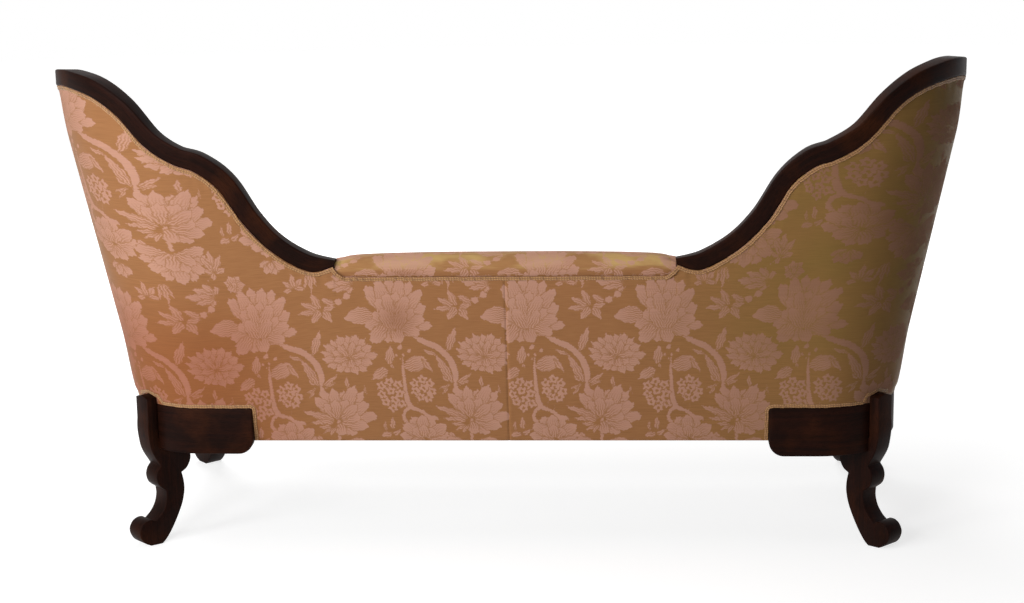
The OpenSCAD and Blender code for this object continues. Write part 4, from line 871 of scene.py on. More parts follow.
def breaks(marks, step):
    """Places from the first mark to the last that include every mark, about one step apart."""
    parts = [np.linspace(a, b, max(1, round((b - a) / step)), endpoint=False)
             for a, b in zip(marks, marks[1:])]
    return np.concatenate([*parts, marks[-1:]])


def over_block(a):
    rear = (a > BLOCK_BACK_END) & (a < BLOCK_SIDE_END)
    return rear | ((a > FRONT_BLOCK_SIDE_END) & (a < FRONT_BLOCK_END))


def puff(a, z, top, side):
    """Small swell of the cloth between its tacked edges, more at the foot of the ends, and the seam."""
    swell = SWELL * smooth((top - z) / 60) * smooth((z - BLOCK_TOP_Z + 30) / 60)
    foot = (FOOT_SWELL * smooth((a - 690) / 80) * smooth((1010 - a) / 60)
            * smooth((430 - z) / 120) * smooth((z - 286) / 24))
    to_crest = 0.85 * ear_inset(side * a) * near_line(z, top, INSET_REACH)
    return swell + foot - SEAM_DEPTH * np.exp(-(a / 2.2) ** 2) - to_crest


# %% Outside covers
under_s, under_z = rising(*crest_side(swept(-CREST_FACE / 2, 1)))
cover_stop = under_s[np.flatnonzero(under_z > BLOCK_TOP_Z + 10).max()]
cover_s = np.concatenate([
    breaks([0, BLOCK_BACK_END, BACK_HALF], COVER_CELL), breaks([BACK_HALF, S_END], COVER_CELL / 1.6)[1:],
    breaks([S_END, BLOCK_SIDE_END, FRONT_BLOCK_SIDE_END, S_FRONT_CORNER, cover_stop], COVER_END_CELL)[1:]])
cover_z = np.concatenate([[RAIL_Z - 2, RAIL_Z - 1],
                          breaks([RAIL_Z, BLOCK_TOP_Z, under_z.max() + 6], COVER_CELL)])
cover_index_s, cover_index_z = np.linspace(0, 1, len(cover_s)), np.linspace(0, 1, len(cover_z))
for side, tag in SIDES:
    def cover_place(u, v):
        a, z = np.interp(u, cover_index_s, cover_s), np.interp(v, cover_index_z, cover_z)
        top = top_z(side * a)
        tucked = np.clip((z - top) / COVER_CELL, 0, 1)
        z = np.minimum(z, top)
        under = np.clip((RAIL_Z - z) / 2, 0, 1)
        tack = TACK_PULL * np.sin(a * (2 * math.pi / TACK_MM))
        pull = tack * near_line(z, top, TACK_REACH) * (a > crest_start)
        depth = puff(a, z, top, side) + pull - under * TURN_UNDER - tucked * TUCK_IN
        return body(side * a, np.maximum(z, RAIL_Z - 0.4) + tucked * TUCK_UP, depth)

    def cover_keep(u, v):
        a, z = np.interp(u, cover_index_s, cover_s), np.interp(v, cover_index_z, cover_z)
        top = np.maximum(top_z(side * (a - 2.5)), top_z(side * (a + 2.5)))
        return (z < top + COVER_CELL) & ~(over_block(a) & (z < BLOCK_TOP_Z))

    cover = grid_piece("outside_cover_cloth_" + tag, len(cover_s) - 1, len(cover_z) - 1, cover_place,
                       cover_keep)
    place = got(cover, "place_uv")
    a, z = np.interp(place[:, 0], cover_index_s, cover_s), np.interp(place[:, 1], cover_index_z, cover_z)
    put(cover, "cloth_mm", cloth_on_body(side * a, np.minimum(z, top_z(side * a))))
    edit(cover, (bpy.ops.mesh.dissolve_degenerate, {"threshold": WELD_REACH}),
         (bpy.ops.mesh.remove_doubles, {"threshold": WELD_REACH}))
    weave(cover)
    face_out(cover)
    finish_piece(cover, damask, "outside_cover_" + tag, smooth_angle=80)

# %% [markdown]
# ## Front border
# The front rail has a border of the same damask between the front blocks, turned under below and tucked under
# the seat above. It goes on over the blocks to the crest's feet.

# %% Front border
border_start = FRONT_LEG_S + CREST_FACE / 4
border_s = breaks([border_start, S_FRONT, FRONT_BLOCK_END, 2 * S_MIDDLE - FRONT_BLOCK_END,
                   2 * S_MIDDLE - S_FRONT, 2 * S_MIDDLE - border_start], BORDER_CELL)
border_z = np.concatenate([[RAIL_Z - 2, RAIL_Z - 1], breaks([RAIL_Z, BLOCK_TOP_Z, RAIL_TOP_Z], BORDER_CELL)])
border_index_s, border_index_z = np.linspace(0, 1, len(border_s)), np.linspace(0, 1, len(border_z))


def border_at(u, v):
    return np.interp(u, border_index_s, border_s), np.interp(v, border_index_z, border_z)


def border_place(u, v):
    s, z = border_at(u, v)
    under = np.clip((RAIL_Z - z) / 2, 0, 1)
    swell = 1.2 * smooth((z - RAIL_Z) / 25) * smooth((RAIL_TOP_Z - z) / 20)
    return body(s, np.maximum(z, RAIL_Z - 0.4), swell - under * TURN_UNDER)


def border_keep(u, v):
    s, z = border_at(u, v)
    a = np.where(s > S_MIDDLE, 2 * S_MIDDLE - s, s)
    return ~(over_block(a) & (z < BLOCK_TOP_Z))


border = grid_piece("front_border_cloth", len(border_s) - 1, len(border_z) - 1, border_place, border_keep)
place = got(border, "place_uv")
s, z = border_at(place[:, 0], place[:, 1])
put(border, "cloth_mm", np.column_stack([s, z + 60, np.zeros(len(s))]))
weave(border)
face_out(border)
finish_piece(border, damask, "front_border", smooth_angle=80)

# %% [markdown]
# ## Crest rail
# Each side of the crest is four boards joined end to end. Every board is a tube: a rectangle with rounded
# edges, carried along the crest's line. The grain is stored along that line.

# %% Crest rail pieces
EDGE_R, CORNER_STEPS = 3.5, 4


def rounded_section(width, thick, radius):
    """Outline of a rectangle with rounded corners, from its middle, anticlockwise."""
    corners = [(1, 1, 0), (-1, 1, 90), (-1, -1, 180), (1, -1, 270)]
    points = []
    for cx, cy, start in corners:
        for k in range(CORNER_STEPS + 1):
            a = math.radians(start + 90 * k / CORNER_STEPS)
            points.append(((width / 2 - radius) * cx + radius * math.cos(a),
                           (thick / 2 - radius) * cy + radius * math.sin(a)))
    return np.array(points + points[:1])


def board_points(h, d, side):
    """Crest points with sawn edges, a swept end and an ear set in a little at the corner."""
    inner = (CREST_T / 2 - d) / CREST_T
    return crest_points(swept(h, side, inner), d - CREST_T / 2 - ear_inset(side * crest_s))


section = rounded_section(CREST_FACE, CREST_T, EDGE_R)
knots_in_part = [0, len(BACK_SHARES) - 1, len(CORNER_SHARES), len(END_SHARES), len(SCROLL_SHARES)]
joints = np.cumsum(knots_in_part) * CREST_STEPS
for side, tag in SIDES:
    for part, first, last in zip(("back", "corner", "end", "scroll"), joints, joints[1:]):
        rings = np.stack([board_points(h, d, side)[first:last + 1] for h, d in section], 0)
        rings[..., 0] *= side
        run = crest_arc[first:last + 1]
        grain = np.stack([np.column_stack([run, np.full(len(run), h), np.full(len(run), d)])
                          for h, d in section], 0) + [0, 0, 40 * side]
        board = ringed_piece(f"crest_board_{part}_{tag}", rings, grain)
        finish_piece(board, mahogany, f"crest_{part}_{tag}", smooth_angle=50)

# %% [markdown]
# ## Posts in the corners and ends
# The posts carry the crest and lie between the outside cover and the pads, so they hardly show. Each is a
# square tube under the crest's lower edge, set in with it at the ear.

# %% Posts
POST_W, POST_LOW, POST_BEHIND_COVER, POST_BEHIND_PADS = 45, 12, 4.5, 1.5
for side, tag in SIDES:
    for part, post_s, half, foot_z in (("corner", REAR_LEG_S, POST_W / 3, BLOCK_TOP_Z),
                                       ("end", S_END + END_HALF, POST_W / 2, RAIL_TOP_Z)):
        def post_place(u, v):
            corner = np.round(u * 4) % 4
            s = side * (post_s + np.where((corner == 1) | (corner == 2), half, -half))
            top = top_z(s) - POST_LOW
            z = foot_z + (top - foot_z) * v
            d = np.where(corner >= 2, -CREST_T + POST_BEHIND_PADS, -POST_BEHIND_COVER)
            return body(s, z, d - ear_inset(s) * near_line(z, top, INSET_REACH))

        post = grid_piece(f"{part}_post_wood_{tag}", 4, 40, post_place)
        close_ends(post)
        finish_piece(post, beech, f"{part}_post_{tag}", smooth_angle=30)

# %% [markdown]
# ## Corner blocks
# A corner block is a thick curved board that wraps the corner. It is a tube again: its section is the board's
# height and thickness, and it is carried round the corner. At each free end the section gets shorter from
# below, which draws the rounded lower corner, and the last few sections draw in a little to ease the edge.

# %% Corner blocks
BLOCK_EASE, BLOCK_CORNER, BLOCK_SAG = 2.5, 30, 5
# The section is drawn this high, and then its edges are moved to the board's own
SECTION_H = 100


def corner_inset(radius, end):
    """How far a rounded corner has drawn in at lengths end from the end."""
    return radius - np.sqrt(np.maximum(0, radius ** 2 - np.maximum(0, radius - end) ** 2))


for side, tag in SIDES:
    for where, s_back, s_side, diagonal, turn in (
            ("rear", BLOCK_BACK_END, BLOCK_SIDE_END, REAR_LEG_S, 1),
            ("front", FRONT_BLOCK_END, FRONT_BLOCK_SIDE_END, FRONT_LEG_S, -1)):
        # t runs from the long end, past the leg, to the short end
        reach, leg_t = abs(s_side - s_back), abs(diagonal - s_back)
        t = np.concatenate([[0, 0.4, 1.2, 2.5],
                            BLOCK_CORNER * (1 - np.cos(np.linspace(0.3, math.pi / 2, 10))),
                            np.linspace(BLOCK_CORNER, leg_t, 40)[1:]])
        t = np.unique(np.round(np.concatenate([t, [leg_t + 0.5], reach - t[t < reach - leg_t - 1]]), 3))
        t = t[t <= reach]
        # The right rear block hangs a little lower than the others
        sag = BLOCK_SAG if side < 0 and where == "rear" else 0
        drop = np.where(t <= leg_t, BLOCK_DROP + sag, BLOCK_END_DROP)
        end = np.minimum(t, reach - t)
        ease = corner_inset(BLOCK_EASE, end)
        z_low = RAIL_Z - drop + corner_inset(BLOCK_CORNER, end)
        z_high = BLOCK_TOP_Z - corner_inset(BLOCK_ROUND / 4, end)
        s = s_back + t * np.sign(s_side - s_back)
        outline = []
        for h, d in rounded_section(SECTION_H, BLOCK_T, EDGE_R * 0.8):
            inset = SECTION_H / 2 - abs(h)
            z = np.where(h < 0, z_low + inset, z_high - inset) if inset < EDGE_R else (z_low + z_high) / 2
            depth = BLOCK_PROUD - BLOCK_T / 2 + d - np.sign(d) * ease * (abs(d) > BLOCK_T / 2 - EDGE_R)
            outline.append(body(side * s, z, depth, np.full(len(s), RAIL_Z)))
        rings = np.stack(outline, 0)
        round_it = np.arange(len(rings))[:, None] * 3.0
        grain = np.stack(np.broadcast_arrays(t, rings[..., 2], round_it), -1) + [300 * side, 0, 90 * turn]
        block = ringed_piece(f"{where}_corner_block_board_{tag}", rings, grain)
        finish_piece(block, mahogany, f"{where}_corner_block_{tag}", smooth_angle=50)

# %% [markdown]
# ## Legs
# A leg is a board sawn to an S-curve, set across the corner: a cheek that covers the block, a knuckle, a shin
# and a scrolled foot. Its outline is one smooth closed curve. The face is filled, extruded to the board's
# thickness, and its edges are eased with a bevel. The cheek's top falls to both sides under the gimp.

# %% Legs
LEG_T, LEG_IN_R, LEG_OUT_R, LEG_CHEEK, LEG_RIDGE, LEG_FALL = 42, 96, 222, 15, 5, 1
LEG_CURVES = [
    [[.746, 1.19], [.757, 1.09], [.738, .98], [.69, .87], [.556, .735]],
    [[.556, .735], [.62, .69], [.645, .627], [.605, .555], [.484, .495]],
    [[.484, .495], [.48, .42], [.525, .335], [.615, .265], [.71, .222]],
    [[.71, .222], [.775, .245], [.87, .243], [.95, .215], [1, .16], [.985, .1], [.915, .04], [.79, 0]],
    [[.6, 0], [.515, .04], [.4, .125], [.28, .24], [.19, .35], [.145, .46], [.15, .55], [.18, .632]],
    [[.18, .632], [.08, .665], [.01, .73], [0, .79], [.035, .85]],
]
leg_top = BLOCK_TOP_Z + LEG_CHEEK
leg_face_r = CORNER_R + BLOCK_PROUD + GAP
leg_neck_r = LEG_IN_R + BLOCK_T / 3
leg_span = LEG_OUT_R - LEG_IN_R
outline = [[leg_neck_r, RAIL_Z], [leg_face_r, RAIL_Z], [leg_face_r, leg_top],
           [LEG_IN_R + .746 * leg_span, leg_top]]
for curve in LEG_CURVES:
    outline += [[LEG_IN_R + r * leg_span, z * RAIL_Z] for r, z in spline(curve, 7)[:-1]]
outline += [[LEG_IN_R + .035 * leg_span, .85 * RAIL_Z], [leg_neck_r, RAIL_Z - BLOCK_DROP / 2]]
outline = np.array(outline)
diagonal, across = math.sqrt(0.5), LEG_T / 2
for side_x, side_y, name in ((1, 1, "rear_leg_l"), (-1, 1, "rear_leg_r"), (1, -1, "front_leg_l"),
                             (-1, -1, "front_leg_r")):
    bpy.ops.mesh.primitive_circle_add(vertices=len(outline), fill_type="NGON", location=(0, 0, 0))
    leg = bpy.context.object
    leg.name = leg.data.name = name.replace("leg", "leg_sawn")
    flat = np.column_stack([side_x * (BACK_HALF + outline[:, 0] * diagonal + across * diagonal),
                            side_y * (END_HALF + outline[:, 0] * diagonal - across * diagonal) + Y_MIDDLE,
                            outline[:, 1]])
    leg.data.vertices.foreach_set("co", (flat * MM).astype(np.float32).ravel())
    way = Vector((-side_x, side_y, 0)) * (diagonal * LEG_T * MM)
    edit(leg, (bpy.ops.mesh.extrude_region_move, {"TRANSFORM_OT_translate": {"value": way}}))
    # A cut halfway through the thickness lets the cheek's top fall to both sides like a roof
    edit(leg, (bpy.ops.mesh.bisect, {"plane_co": (flat * MM).mean(0) + np.array(way) / 2, "plane_no": way}),
         (bpy.ops.mesh.normals_make_consistent, {"inside": False}))
    points = points_of(leg)
    off = np.abs((points - (flat * MM).mean(0)) @ np.array(way.normalized()) / MM - LEG_T / 2) / (LEG_T / 2)
    roof = LEG_RIDGE - (LEG_RIDGE + LEG_FALL) * off
    points[:, 2] += np.where(points[:, 2] > (leg_top - 1) * MM, roof * MM, 0)
    leg.data.vertices.foreach_set("co", points.astype(np.float32).ravel())
    refine(leg, "BEVEL", width=2.2 * MM, segments=3, limit_method="ANGLE", angle_limit=math.radians(48))
    points = points_of(leg) / MM
    put(leg, "grain_mm", np.column_stack([points[:, 2], points[:, 0] * 0.7 + side_y * points[:, 1] * 0.7,
                                          points[:, 0] - points[:, 1]]) + [0, 200 * side_x, 130 * side_y])
    finish_piece(leg, mahogany, name, smooth_angle=40)

# %% [markdown]
# ## Padded roll
# The low back ends in a horsehair roll covered in damask. Its ends are drawn in and gathered. The roll is a
# tube with a flat foot, inflated a little by Blender's cloth while its foot and ends stay pinned, so that the
# cover wrinkles by itself. It starts smaller than the CAD solid and may move only a few millimetres.

# %% Soft helpers: inflate, then subdivide
CLOTH_FRAMES = 20


def inflate(obj, pinned, pressure, cap):
    """Puffs out a soft piece by a cloth simulation, cap mm at most. pinned tells where it is tacked."""
    start = points_of(obj)
    group = obj.vertex_groups.new(name="tacked")
    group.add(np.flatnonzero(pinned).tolist(), 1.0, "REPLACE")
    bpy.context.view_layer.objects.active = obj
    cloth_modifier = obj.modifiers.new("cloth", "CLOTH")
    settings = cloth_modifier.settings
    settings.vertex_group_mass = "tacked"
    settings.use_pressure = True
    settings.uniform_pressure_force = pressure
    settings.effector_weights.gravity = 0
    settings.quality = 5
    settings.mass = 0.3
    settings.tension_stiffness = settings.compression_stiffness = 15
    settings.bending_stiffness = 0.6
    cloth_modifier.collision_settings.use_collision = False
    for number in range(1, CLOTH_FRAMES + 1):
        scene.frame_set(number)
    bpy.ops.object.modifier_apply(modifier=cloth_modifier.name)
    scene.frame_set(1)
    moved = points_of(obj) - start
    size = np.linalg.norm(moved, axis=1)
    limit = cap * MM
    moved *= np.where(size > 0, limit * np.tanh(size / limit) / np.maximum(size, 1e-9), 0)[:, None]
    obj.data.vertices.foreach_set("co", (start + moved).astype(np.float32).ravel())
    obj.vertex_groups.clear()
    print(obj.name, "moved", round(float(size.max()) / MM, 1), "mm at most before the cap")


def soften(obj):
    refine(obj, "SUBSURF", levels=2, render_levels=2)


# %% Back roll
ROLL_H, ROLL_T, ROLL_PROUD = 41, 88, 6
ROLL_PLACES, ROLL_SIZES = [0, .35, .7, .86, .92, .96, .985, 1], [1, 1, .97, .94, .89, .81, .75, .73]
ROLL_REACH = ROLL_HALF + 12
ROLL_AROUND, ROLL_ALONG = 40, 120
# This share of the way round is the cover, and the rest is the flat foot
COVER_SHARE = 0.75


def roll_place(u, v):
    x = v * 2 - 1
    ends = np.abs(x)
    size = np.interp(ends, ROLL_PLACES, ROLL_SIZES)
    turn = np.clip(u / COVER_SHARE, 0, 1)
    foot = np.clip((u - COVER_SHARE) / (1 - COVER_SHARE), 0, 1)
    c, h = np.cos(math.pi * turn), np.sin(math.pi * turn)
    half_t = ROLL_T / 2 * (0.5 + size / 2) - 1.5
    wide = np.where(u <= COVER_SHARE, np.sign(c) * np.abs(c) ** 0.7 * half_t * np.minimum(1, 0.92 + h / 4),
                    -half_t * 0.92 * (1 - 2 * foot))
    tall = np.where(u <= COVER_SHARE, np.abs(h) ** 0.75 * (ROLL_H - 1.5) * size, 0)
    gather = 2.4 * smooth((ends - 0.945) / 0.03) * np.cos(turn * 2 * math.pi * 5 + x * 9) * (u <= COVER_SHARE)
    return body(x * ROLL_REACH, ROLL_Z - 1 + tall + gather * (tall > 1), ROLL_PROUD - ROLL_T / 2 + wide)


roll = grid_piece("back_roll_padded", ROLL_AROUND, ROLL_ALONG, roll_place)
place = got(roll, "place_uv")
# A band along the roll's upper side, facing up and back, gets the painted gold sheen
lit = smooth((place[:, 0] - 0.04) / 0.1) * smooth((0.4 - place[:, 0]) / 0.1)
put(roll, "cloth_mm", np.column_stack([20 - (place[:, 1] * 2 - 1) * ROLL_HALF, 488 + place[:, 0] * 176,
                                       TONE_SHIFT_MM * lit]))
close_ends(roll)
place = got(roll, "place_uv")
inflate(roll, (place[:, 0] > 0.77) | (place[:, 0] < 0.01) | (np.abs(place[:, 1] * 2 - 1) > 0.97),
        pressure=5, cap=4)
soften(roll)
weave(roll)
finish_piece(roll, roll_damask, "back_roll", smooth_angle=80)

# %% [markdown]
# ## Inside pads
# The inside of the back and of each end is padded. A pad is a cushion whose back lies flat against the frame
# and whose front is crowned and drawn in along its edges. Its cross-section at each place is a closed ring,
# so the pad is a tube along the body, which the cloth simulation fills out.

# %% Inside pads
PAD_LAP, PAD_EDGE, PAD_CROWN, PAD_Z, SEAT_EDGE_Z = 8, 9, 26, 380, 410
PAD_AROUND, PAD_TOP_SHARE, PAD_STEP_REACH = 30, 0.8, 60
pad_out = -CREST_T - 2 * GAP
pad_seam = BACK_HALF + ARC / 12
lap_side_s, lap_side_z = crest_side(PAD_LAP + swept(-CREST_FACE / 2, 1))
lap_s, lap_line_z = rising(lap_side_s, lap_side_z)
upright_s, upright_step = rising(lap_side_s, crest_upright * (crest_z - lap_side_z) * LEAN)
end_pad_stop = lap_s[(lap_s > pad_seam) & (lap_line_z > SEAT_EDGE_Z + 2 * PAD_EDGE)].max()


def pad_rise(u):
    """Share of the pad's height at each place round it. Close rows at the top keep its edge in place."""
    rows, shares = [1, 21, 22, 23, 24, 25, 26, 30], [0, 0.925, 0.955, 0.985, 1, 0.985, 0.93, 0]
    return np.interp(u * PAD_AROUND, rows, shares)


def pad_piece(name, s_from, s_to, node, columns, cloth_start):
    def pad_place(u, v):
        s = s_from + (s_to - s_from) * v
        top = top_z(s, PAD_LAP)
        # u runs under the foot, up the crowned front, over the top and down the flat back
        z = PAD_Z + (top - PAD_Z) * pad_rise(u)
        above = np.clip((z - SEAT_EDGE_Z) / np.maximum(top - SEAT_EDGE_Z, 1), 0, 1)
        swell_z = 1 - np.abs(2 * above - 1) ** 3
        swell_s = 1 - np.abs(2 * v - 1) ** 3
        thick = PAD_EDGE + PAD_CROWN * 0.85 * swell_z * swell_s
        eased = np.minimum(1, np.sqrt(np.clip(np.minimum(1 - above, 1) * 14, 0, 1)))
        eased_s = np.sqrt(np.clip(np.minimum(v, 1 - v) * abs(s_to - s_from) / 9, 0.05, 1))
        # The top edge lies against the crest's inner face, upright in the corners and set in at the ear
        out = (pad_out - ear_inset(s) * near_line(z, top, INSET_REACH)
               + np.interp(np.abs(s), upright_s, upright_step) * near_line(z, top, PAD_STEP_REACH))
        return body(s, z, out - np.where((u > 0) & (u <= PAD_TOP_SHARE), thick * eased * eased_s, 0))

    pad = grid_piece(name, PAD_AROUND, columns, pad_place)
    place = got(pad, "place_uv")
    s = s_from + (s_to - s_from) * place[:, 1]
    z = PAD_Z + (top_z(s, PAD_LAP) - PAD_Z) * pad_rise(np.minimum(place[:, 0], PAD_TOP_SHARE))
    put(pad, "cloth_mm", np.column_stack([cloth_start + s, z + 40 - 3 * REPEAT[1], np.zeros(len(s))]))
    close_ends(pad)
    place = got(pad, "place_uv")
    inflate(pad, (place[:, 0] < 0.12) | (place[:, 0] > 0.77) | (place[:, 1] < 0.02) | (place[:, 1] > 0.98),
            pressure=3, cap=5)
    soften(pad)
    weave(pad)
    finish_piece(pad, damask, node, smooth_angle=80)


pad_piece("inside_back_cushion", -pad_seam, pad_seam, "inside_back_pad", 110, 0)
pad_piece("inside_end_cushion_l", pad_seam + GAP, end_pad_stop, "inside_end_pad_l", 60, 80)
pad_piece("inside_end_cushion_r", -pad_seam - GAP, -end_pad_stop, "inside_end_pad_r", 60, -80)

# %% [markdown]
# ## Seat
# The seat is sprung and tightly upholstered. It fills the space between the pads, rolls over the front rail
# and has a low crown. It is a tube along the couch: each section runs along the flat foot, up the back, over
# the top and down over the rail, and the sections lie closer together at the rounded ends.

# %% Seat
SEAT_CROWN, SEAT_INSET = 22, 7
seat_low_z = RAIL_TOP_Z + 2.1
seat_in = pad_out - PAD_EDGE - 2 * GAP
SIDE_SHARES = np.array([[0, 1], [.2, .25], [.5, 0], [.75, .3], [.92, 1.1], [1, 2.4]])
CROWN_SHARES = np.array([[0, 0], [.12, .45], [.3, .75], [.55, .93], [.85, 1], [1, 1]])
SEAT_AROUND, SEAT_ALONG = 72, 92
# Where, round the section, the flat foot, the back wall and the top end
FOOT_SHARE, WALL_SHARE, TOP_SHARE = 0.24, 0.34, 0.86


def seat_place(u, v):
    ends = v * 2 - 1
    ends = ends * (1.5 - 0.5 * ends ** 2)
    wall = np.where(u < WALL_SHARE, (u - FOOT_SHARE) / (WALL_SHARE - FOOT_SHARE), (1 - u) / (1 - TOP_SHARE))
    wall = np.clip(wall, 0, 1)
    z = seat_low_z + (SEAT_EDGE_Z - seat_low_z) * wall
    inset = SEAT_INSET * np.interp(wall, SIDE_SHARES[:, 0], SIDE_SHARES[:, 1])
    reach = CORNER_R + seat_in + (z - RAIL_Z) * LEAN - inset
    x = ends * (BACK_HALF + reach)
    half_y = END_HALF + np.sqrt(np.maximum(reach ** 2 - np.maximum(np.abs(x) - BACK_HALF, 0) ** 2, 0))
    over_rail = (RAIL_TOP_Z - RAIL_Z) * LEAN - 1 - seat_in - (z - RAIL_Z) * LEAN
    front_y = half_y + over_rail * smooth((1 - np.abs(ends)) / 0.08)
    # From the back, over the top, to the front
    over = np.clip((u - WALL_SHARE) / (TOP_SHARE - WALL_SHARE), 0, 1)
    foot = np.clip(u / FOOT_SHARE, 0, 1)
    share = np.where(u < FOOT_SHARE, 1 - foot, over)
    rise = np.interp(1 - np.abs(2 * over - 1), CROWN_SHARES[:, 0], CROWN_SHARES[:, 1])
    rise = rise * np.interp(np.clip((1 - np.abs(ends)) * 2.2, 0, 1), CROWN_SHARES[:, 0], CROWN_SHARES[:, 1])
    return np.column_stack([x, Y_MIDDLE + half_y + (-front_y - half_y) * share, z + (SEAT_CROWN - 1) * rise])


seat = grid_piece("seat_upholstered", SEAT_AROUND, SEAT_ALONG, seat_place)
place, points = got(seat, "place_uv"), points_of(seat) / MM
hang = np.clip((place[:, 0] - TOP_SHARE) / (1 - TOP_SHARE), 0, 1) * (SEAT_EDGE_Z - seat_low_z)
put(seat, "cloth_mm", np.column_stack([points[:, 0], points[:, 1] - hang, np.zeros(len(points))]))
close_ends(seat)
place = got(seat, "place_uv")
inflate(seat, (place[:, 0] < WALL_SHARE - 0.05) | (place[:, 0] > 0.93), pressure=1.5, cap=3)
soften(seat)
weave(seat)
finish_piece(seat, damask, "seat_pad", smooth_angle=80)

# %% [markdown]
# ## Gimp
# The braid is two plaited cords side by side. Its path is a line on the fabric with a direction across it and
# one outward. A grid along that path has its height set by the two cords and their twist, and the height is
# stored too, for the thread's colour with its painted highlight and shade. It edges the crest, the roll and
# each corner block. At a leg it steps up over the cheek.

# %% Gimp braid
GIMP_W, GIMP_STEP, TWIST_MM = 7.6, 1.25, 5.0


def braid(name, path, outward, node):
    """Braid along a path in mm, flat against a surface whose outward directions are given."""
    gaps = np.linalg.norm(np.diff(path, axis=0), axis=1)
    keep = np.concatenate([[True], gaps > 1e-6])
    path, outward = path[keep], outward[keep]
    run = np.concatenate([[0], np.cumsum(np.linalg.norm(np.diff(path, axis=0), axis=1))])
    steps = int(run[-1] / GIMP_STEP)
    at = np.linspace(0, run[-1], steps + 1)
    line = np.column_stack([np.interp(at, run, path[:, k]) for k in range(3)])
    out = np.column_stack([np.interp(at, run, outward[:, k]) for k in range(3)])
    way = np.gradient(line, axis=0)
    across = np.cross(out, way)
    across /= np.linalg.norm(across, axis=1)[:, None]
    out = np.cross(way, across)
    out /= np.linalg.norm(out, axis=1)[:, None]

    def relief(u, v):
        y = u * 2 - 1
        x = v * run[-1]
        cord = np.abs(np.sin(math.pi * np.clip(np.abs(y), 0, 1))) ** 0.6
        twist = np.sin(2 * math.pi * (x / TWIST_MM + np.sign(y) * (np.abs(y) - 0.5) * 0.55))
        return cord, twist

    wander = 0.45 * np.sin(at * 0.071 + len(name)) + 0.35 * np.sin(at * 0.23) + 0.2 * np.sin(at * 0.61)
    line = line + across * wander[:, None]

    def braid_place(u, v):
        i = np.round(v * steps).astype(int)
        cord, twist = relief(u, v)
        y = (u * 2 - 1) * (GIMP_W / 2) * (1 + 0.05 * twist * np.abs(u * 2 - 1))
        lift = 0.35 + cord * (0.95 + 0.35 * twist)
        return line[i] + across[i] * y[:, None] + out[i] * lift[:, None]

    made = grid_piece(name, 10, steps, braid_place)
    place = got(made, "place_uv")
    cord, twist = relief(place[:, 0], place[:, 1])
    x = place[:, 1] * run[-1]
    put(made, "strand", np.column_stack([np.clip(0.1 + 0.55 * cord + 0.35 * twist * cord, 0, 1),
                                         x + place[:, 0] * 4, x * 0]))
    first = int(np.argmin(np.linalg.norm(place[:, :2] - 0.5, axis=1)))
    made.data.update()
    middle = made.data.vertices[first].normal
    if middle.dot(Vector(out[steps // 2])) < 0:
        edit(made, (bpy.ops.mesh.flip_normals, {}))
    finish_piece(made, gimp, node, smooth_angle=80)


# %% Gimp along the crest and the roll


def mirrored(points, side):
    return points * [side, 1, 1]


def outward_at(s):
    _, _, out_x, out_y = plan(s)
    return np.column_stack([out_x, out_y, np.full(len(out_x), -LEAN)])


for side, tag in SIDES:
    stop = len(crest_line) - CREST_STEPS // 4
    edge = swept(-CREST_FACE / 2, side) - GAP - GIMP_W / 2
    edge_s, edge_z = crest_side(edge)
    path = body(edge_s, edge_z, 0.6 + puff(edge_s, edge_z, edge_z, side))[:stop]
    braid("crest_braid_" + tag, mirrored(path, side), mirrored(outward_at(edge_s)[:stop], side),
          "crest_gimp_" + tag)
# Under the roll the braid runs level, and at each end it rises to meet the crest's braid
LEVEL_POINTS, LEVEL_END, TURN_RUN, TURN_RISE = 40, ROLL_HALF - 12, 24, 20
turn_up = np.linspace(0, 1, 16)[1:]
roll_half_line = np.concatenate([np.linspace(0, LEVEL_END, LEVEL_POINTS), LEVEL_END + TURN_RUN * turn_up])
roll_rise = np.concatenate([np.zeros(LEVEL_POINTS), TURN_RISE * turn_up ** 1.6])
roll_depth = np.concatenate([np.full(LEVEL_POINTS, 0.4), 0.4 + 3 * np.sin(turn_up * math.pi)])
roll_line = np.concatenate([-roll_half_line[:0:-1], roll_half_line])
roll_rise = np.concatenate([roll_rise[:0:-1], roll_rise])
roll_depth = np.concatenate([roll_depth[:0:-1], roll_depth])
braid("roll_braid", body(roll_line, ROLL_Z - GAP - GIMP_W / 2 + roll_rise, roll_depth), outward_at(roll_line),
      "roll_gimp")

# %% Gimp round the blocks
# A step along the base line is longer at the block's outer face
CORNER_STEP = (CORNER_R + BLOCK_PROUD) / CORNER_R
PATH_R, SIDE_POINTS = 9, 14


def block_path(s_from, s_to, diagonal):
    """Round a corner block: up one end, along the top and over the leg's cheek, and down the other end."""
    way = np.sign(s_to - s_from)
    first, last = s_from - way * (GAP + GIMP_W / 2), s_to + way * (GAP + GIMP_W / 2)
    top = BLOCK_TOP_Z + GAP + GIMP_W / 2
    turn = np.linspace(0, math.pi / 2, 7)[1:-1]
    z_up = np.linspace(RAIL_Z + 1, top - PATH_R, SIDE_POINTS)
    s_top = np.linspace(first + way * PATH_R, last - way * PATH_R, 260)
    off = np.abs(s_top - diagonal) * CORNER_STEP / (LEG_T / 2)
    roof = LEG_CHEEK + 1 + LEG_RIDGE - (LEG_RIDGE + LEG_FALL) * np.minimum(off, 1)
    step = roof * smooth((1.75 - off) / 0.5)
    s = np.concatenate([np.full(SIDE_POINTS, first), first + way * PATH_R * (1 - np.cos(turn)), s_top,
                        last - way * PATH_R * (1 - np.sin(turn)), np.full(SIDE_POINTS, last)])
    z = np.concatenate([z_up, top - PATH_R + PATH_R * np.sin(turn), top + step,
                        top - PATH_R + PATH_R * np.cos(turn), z_up[::-1]])
    return s, z


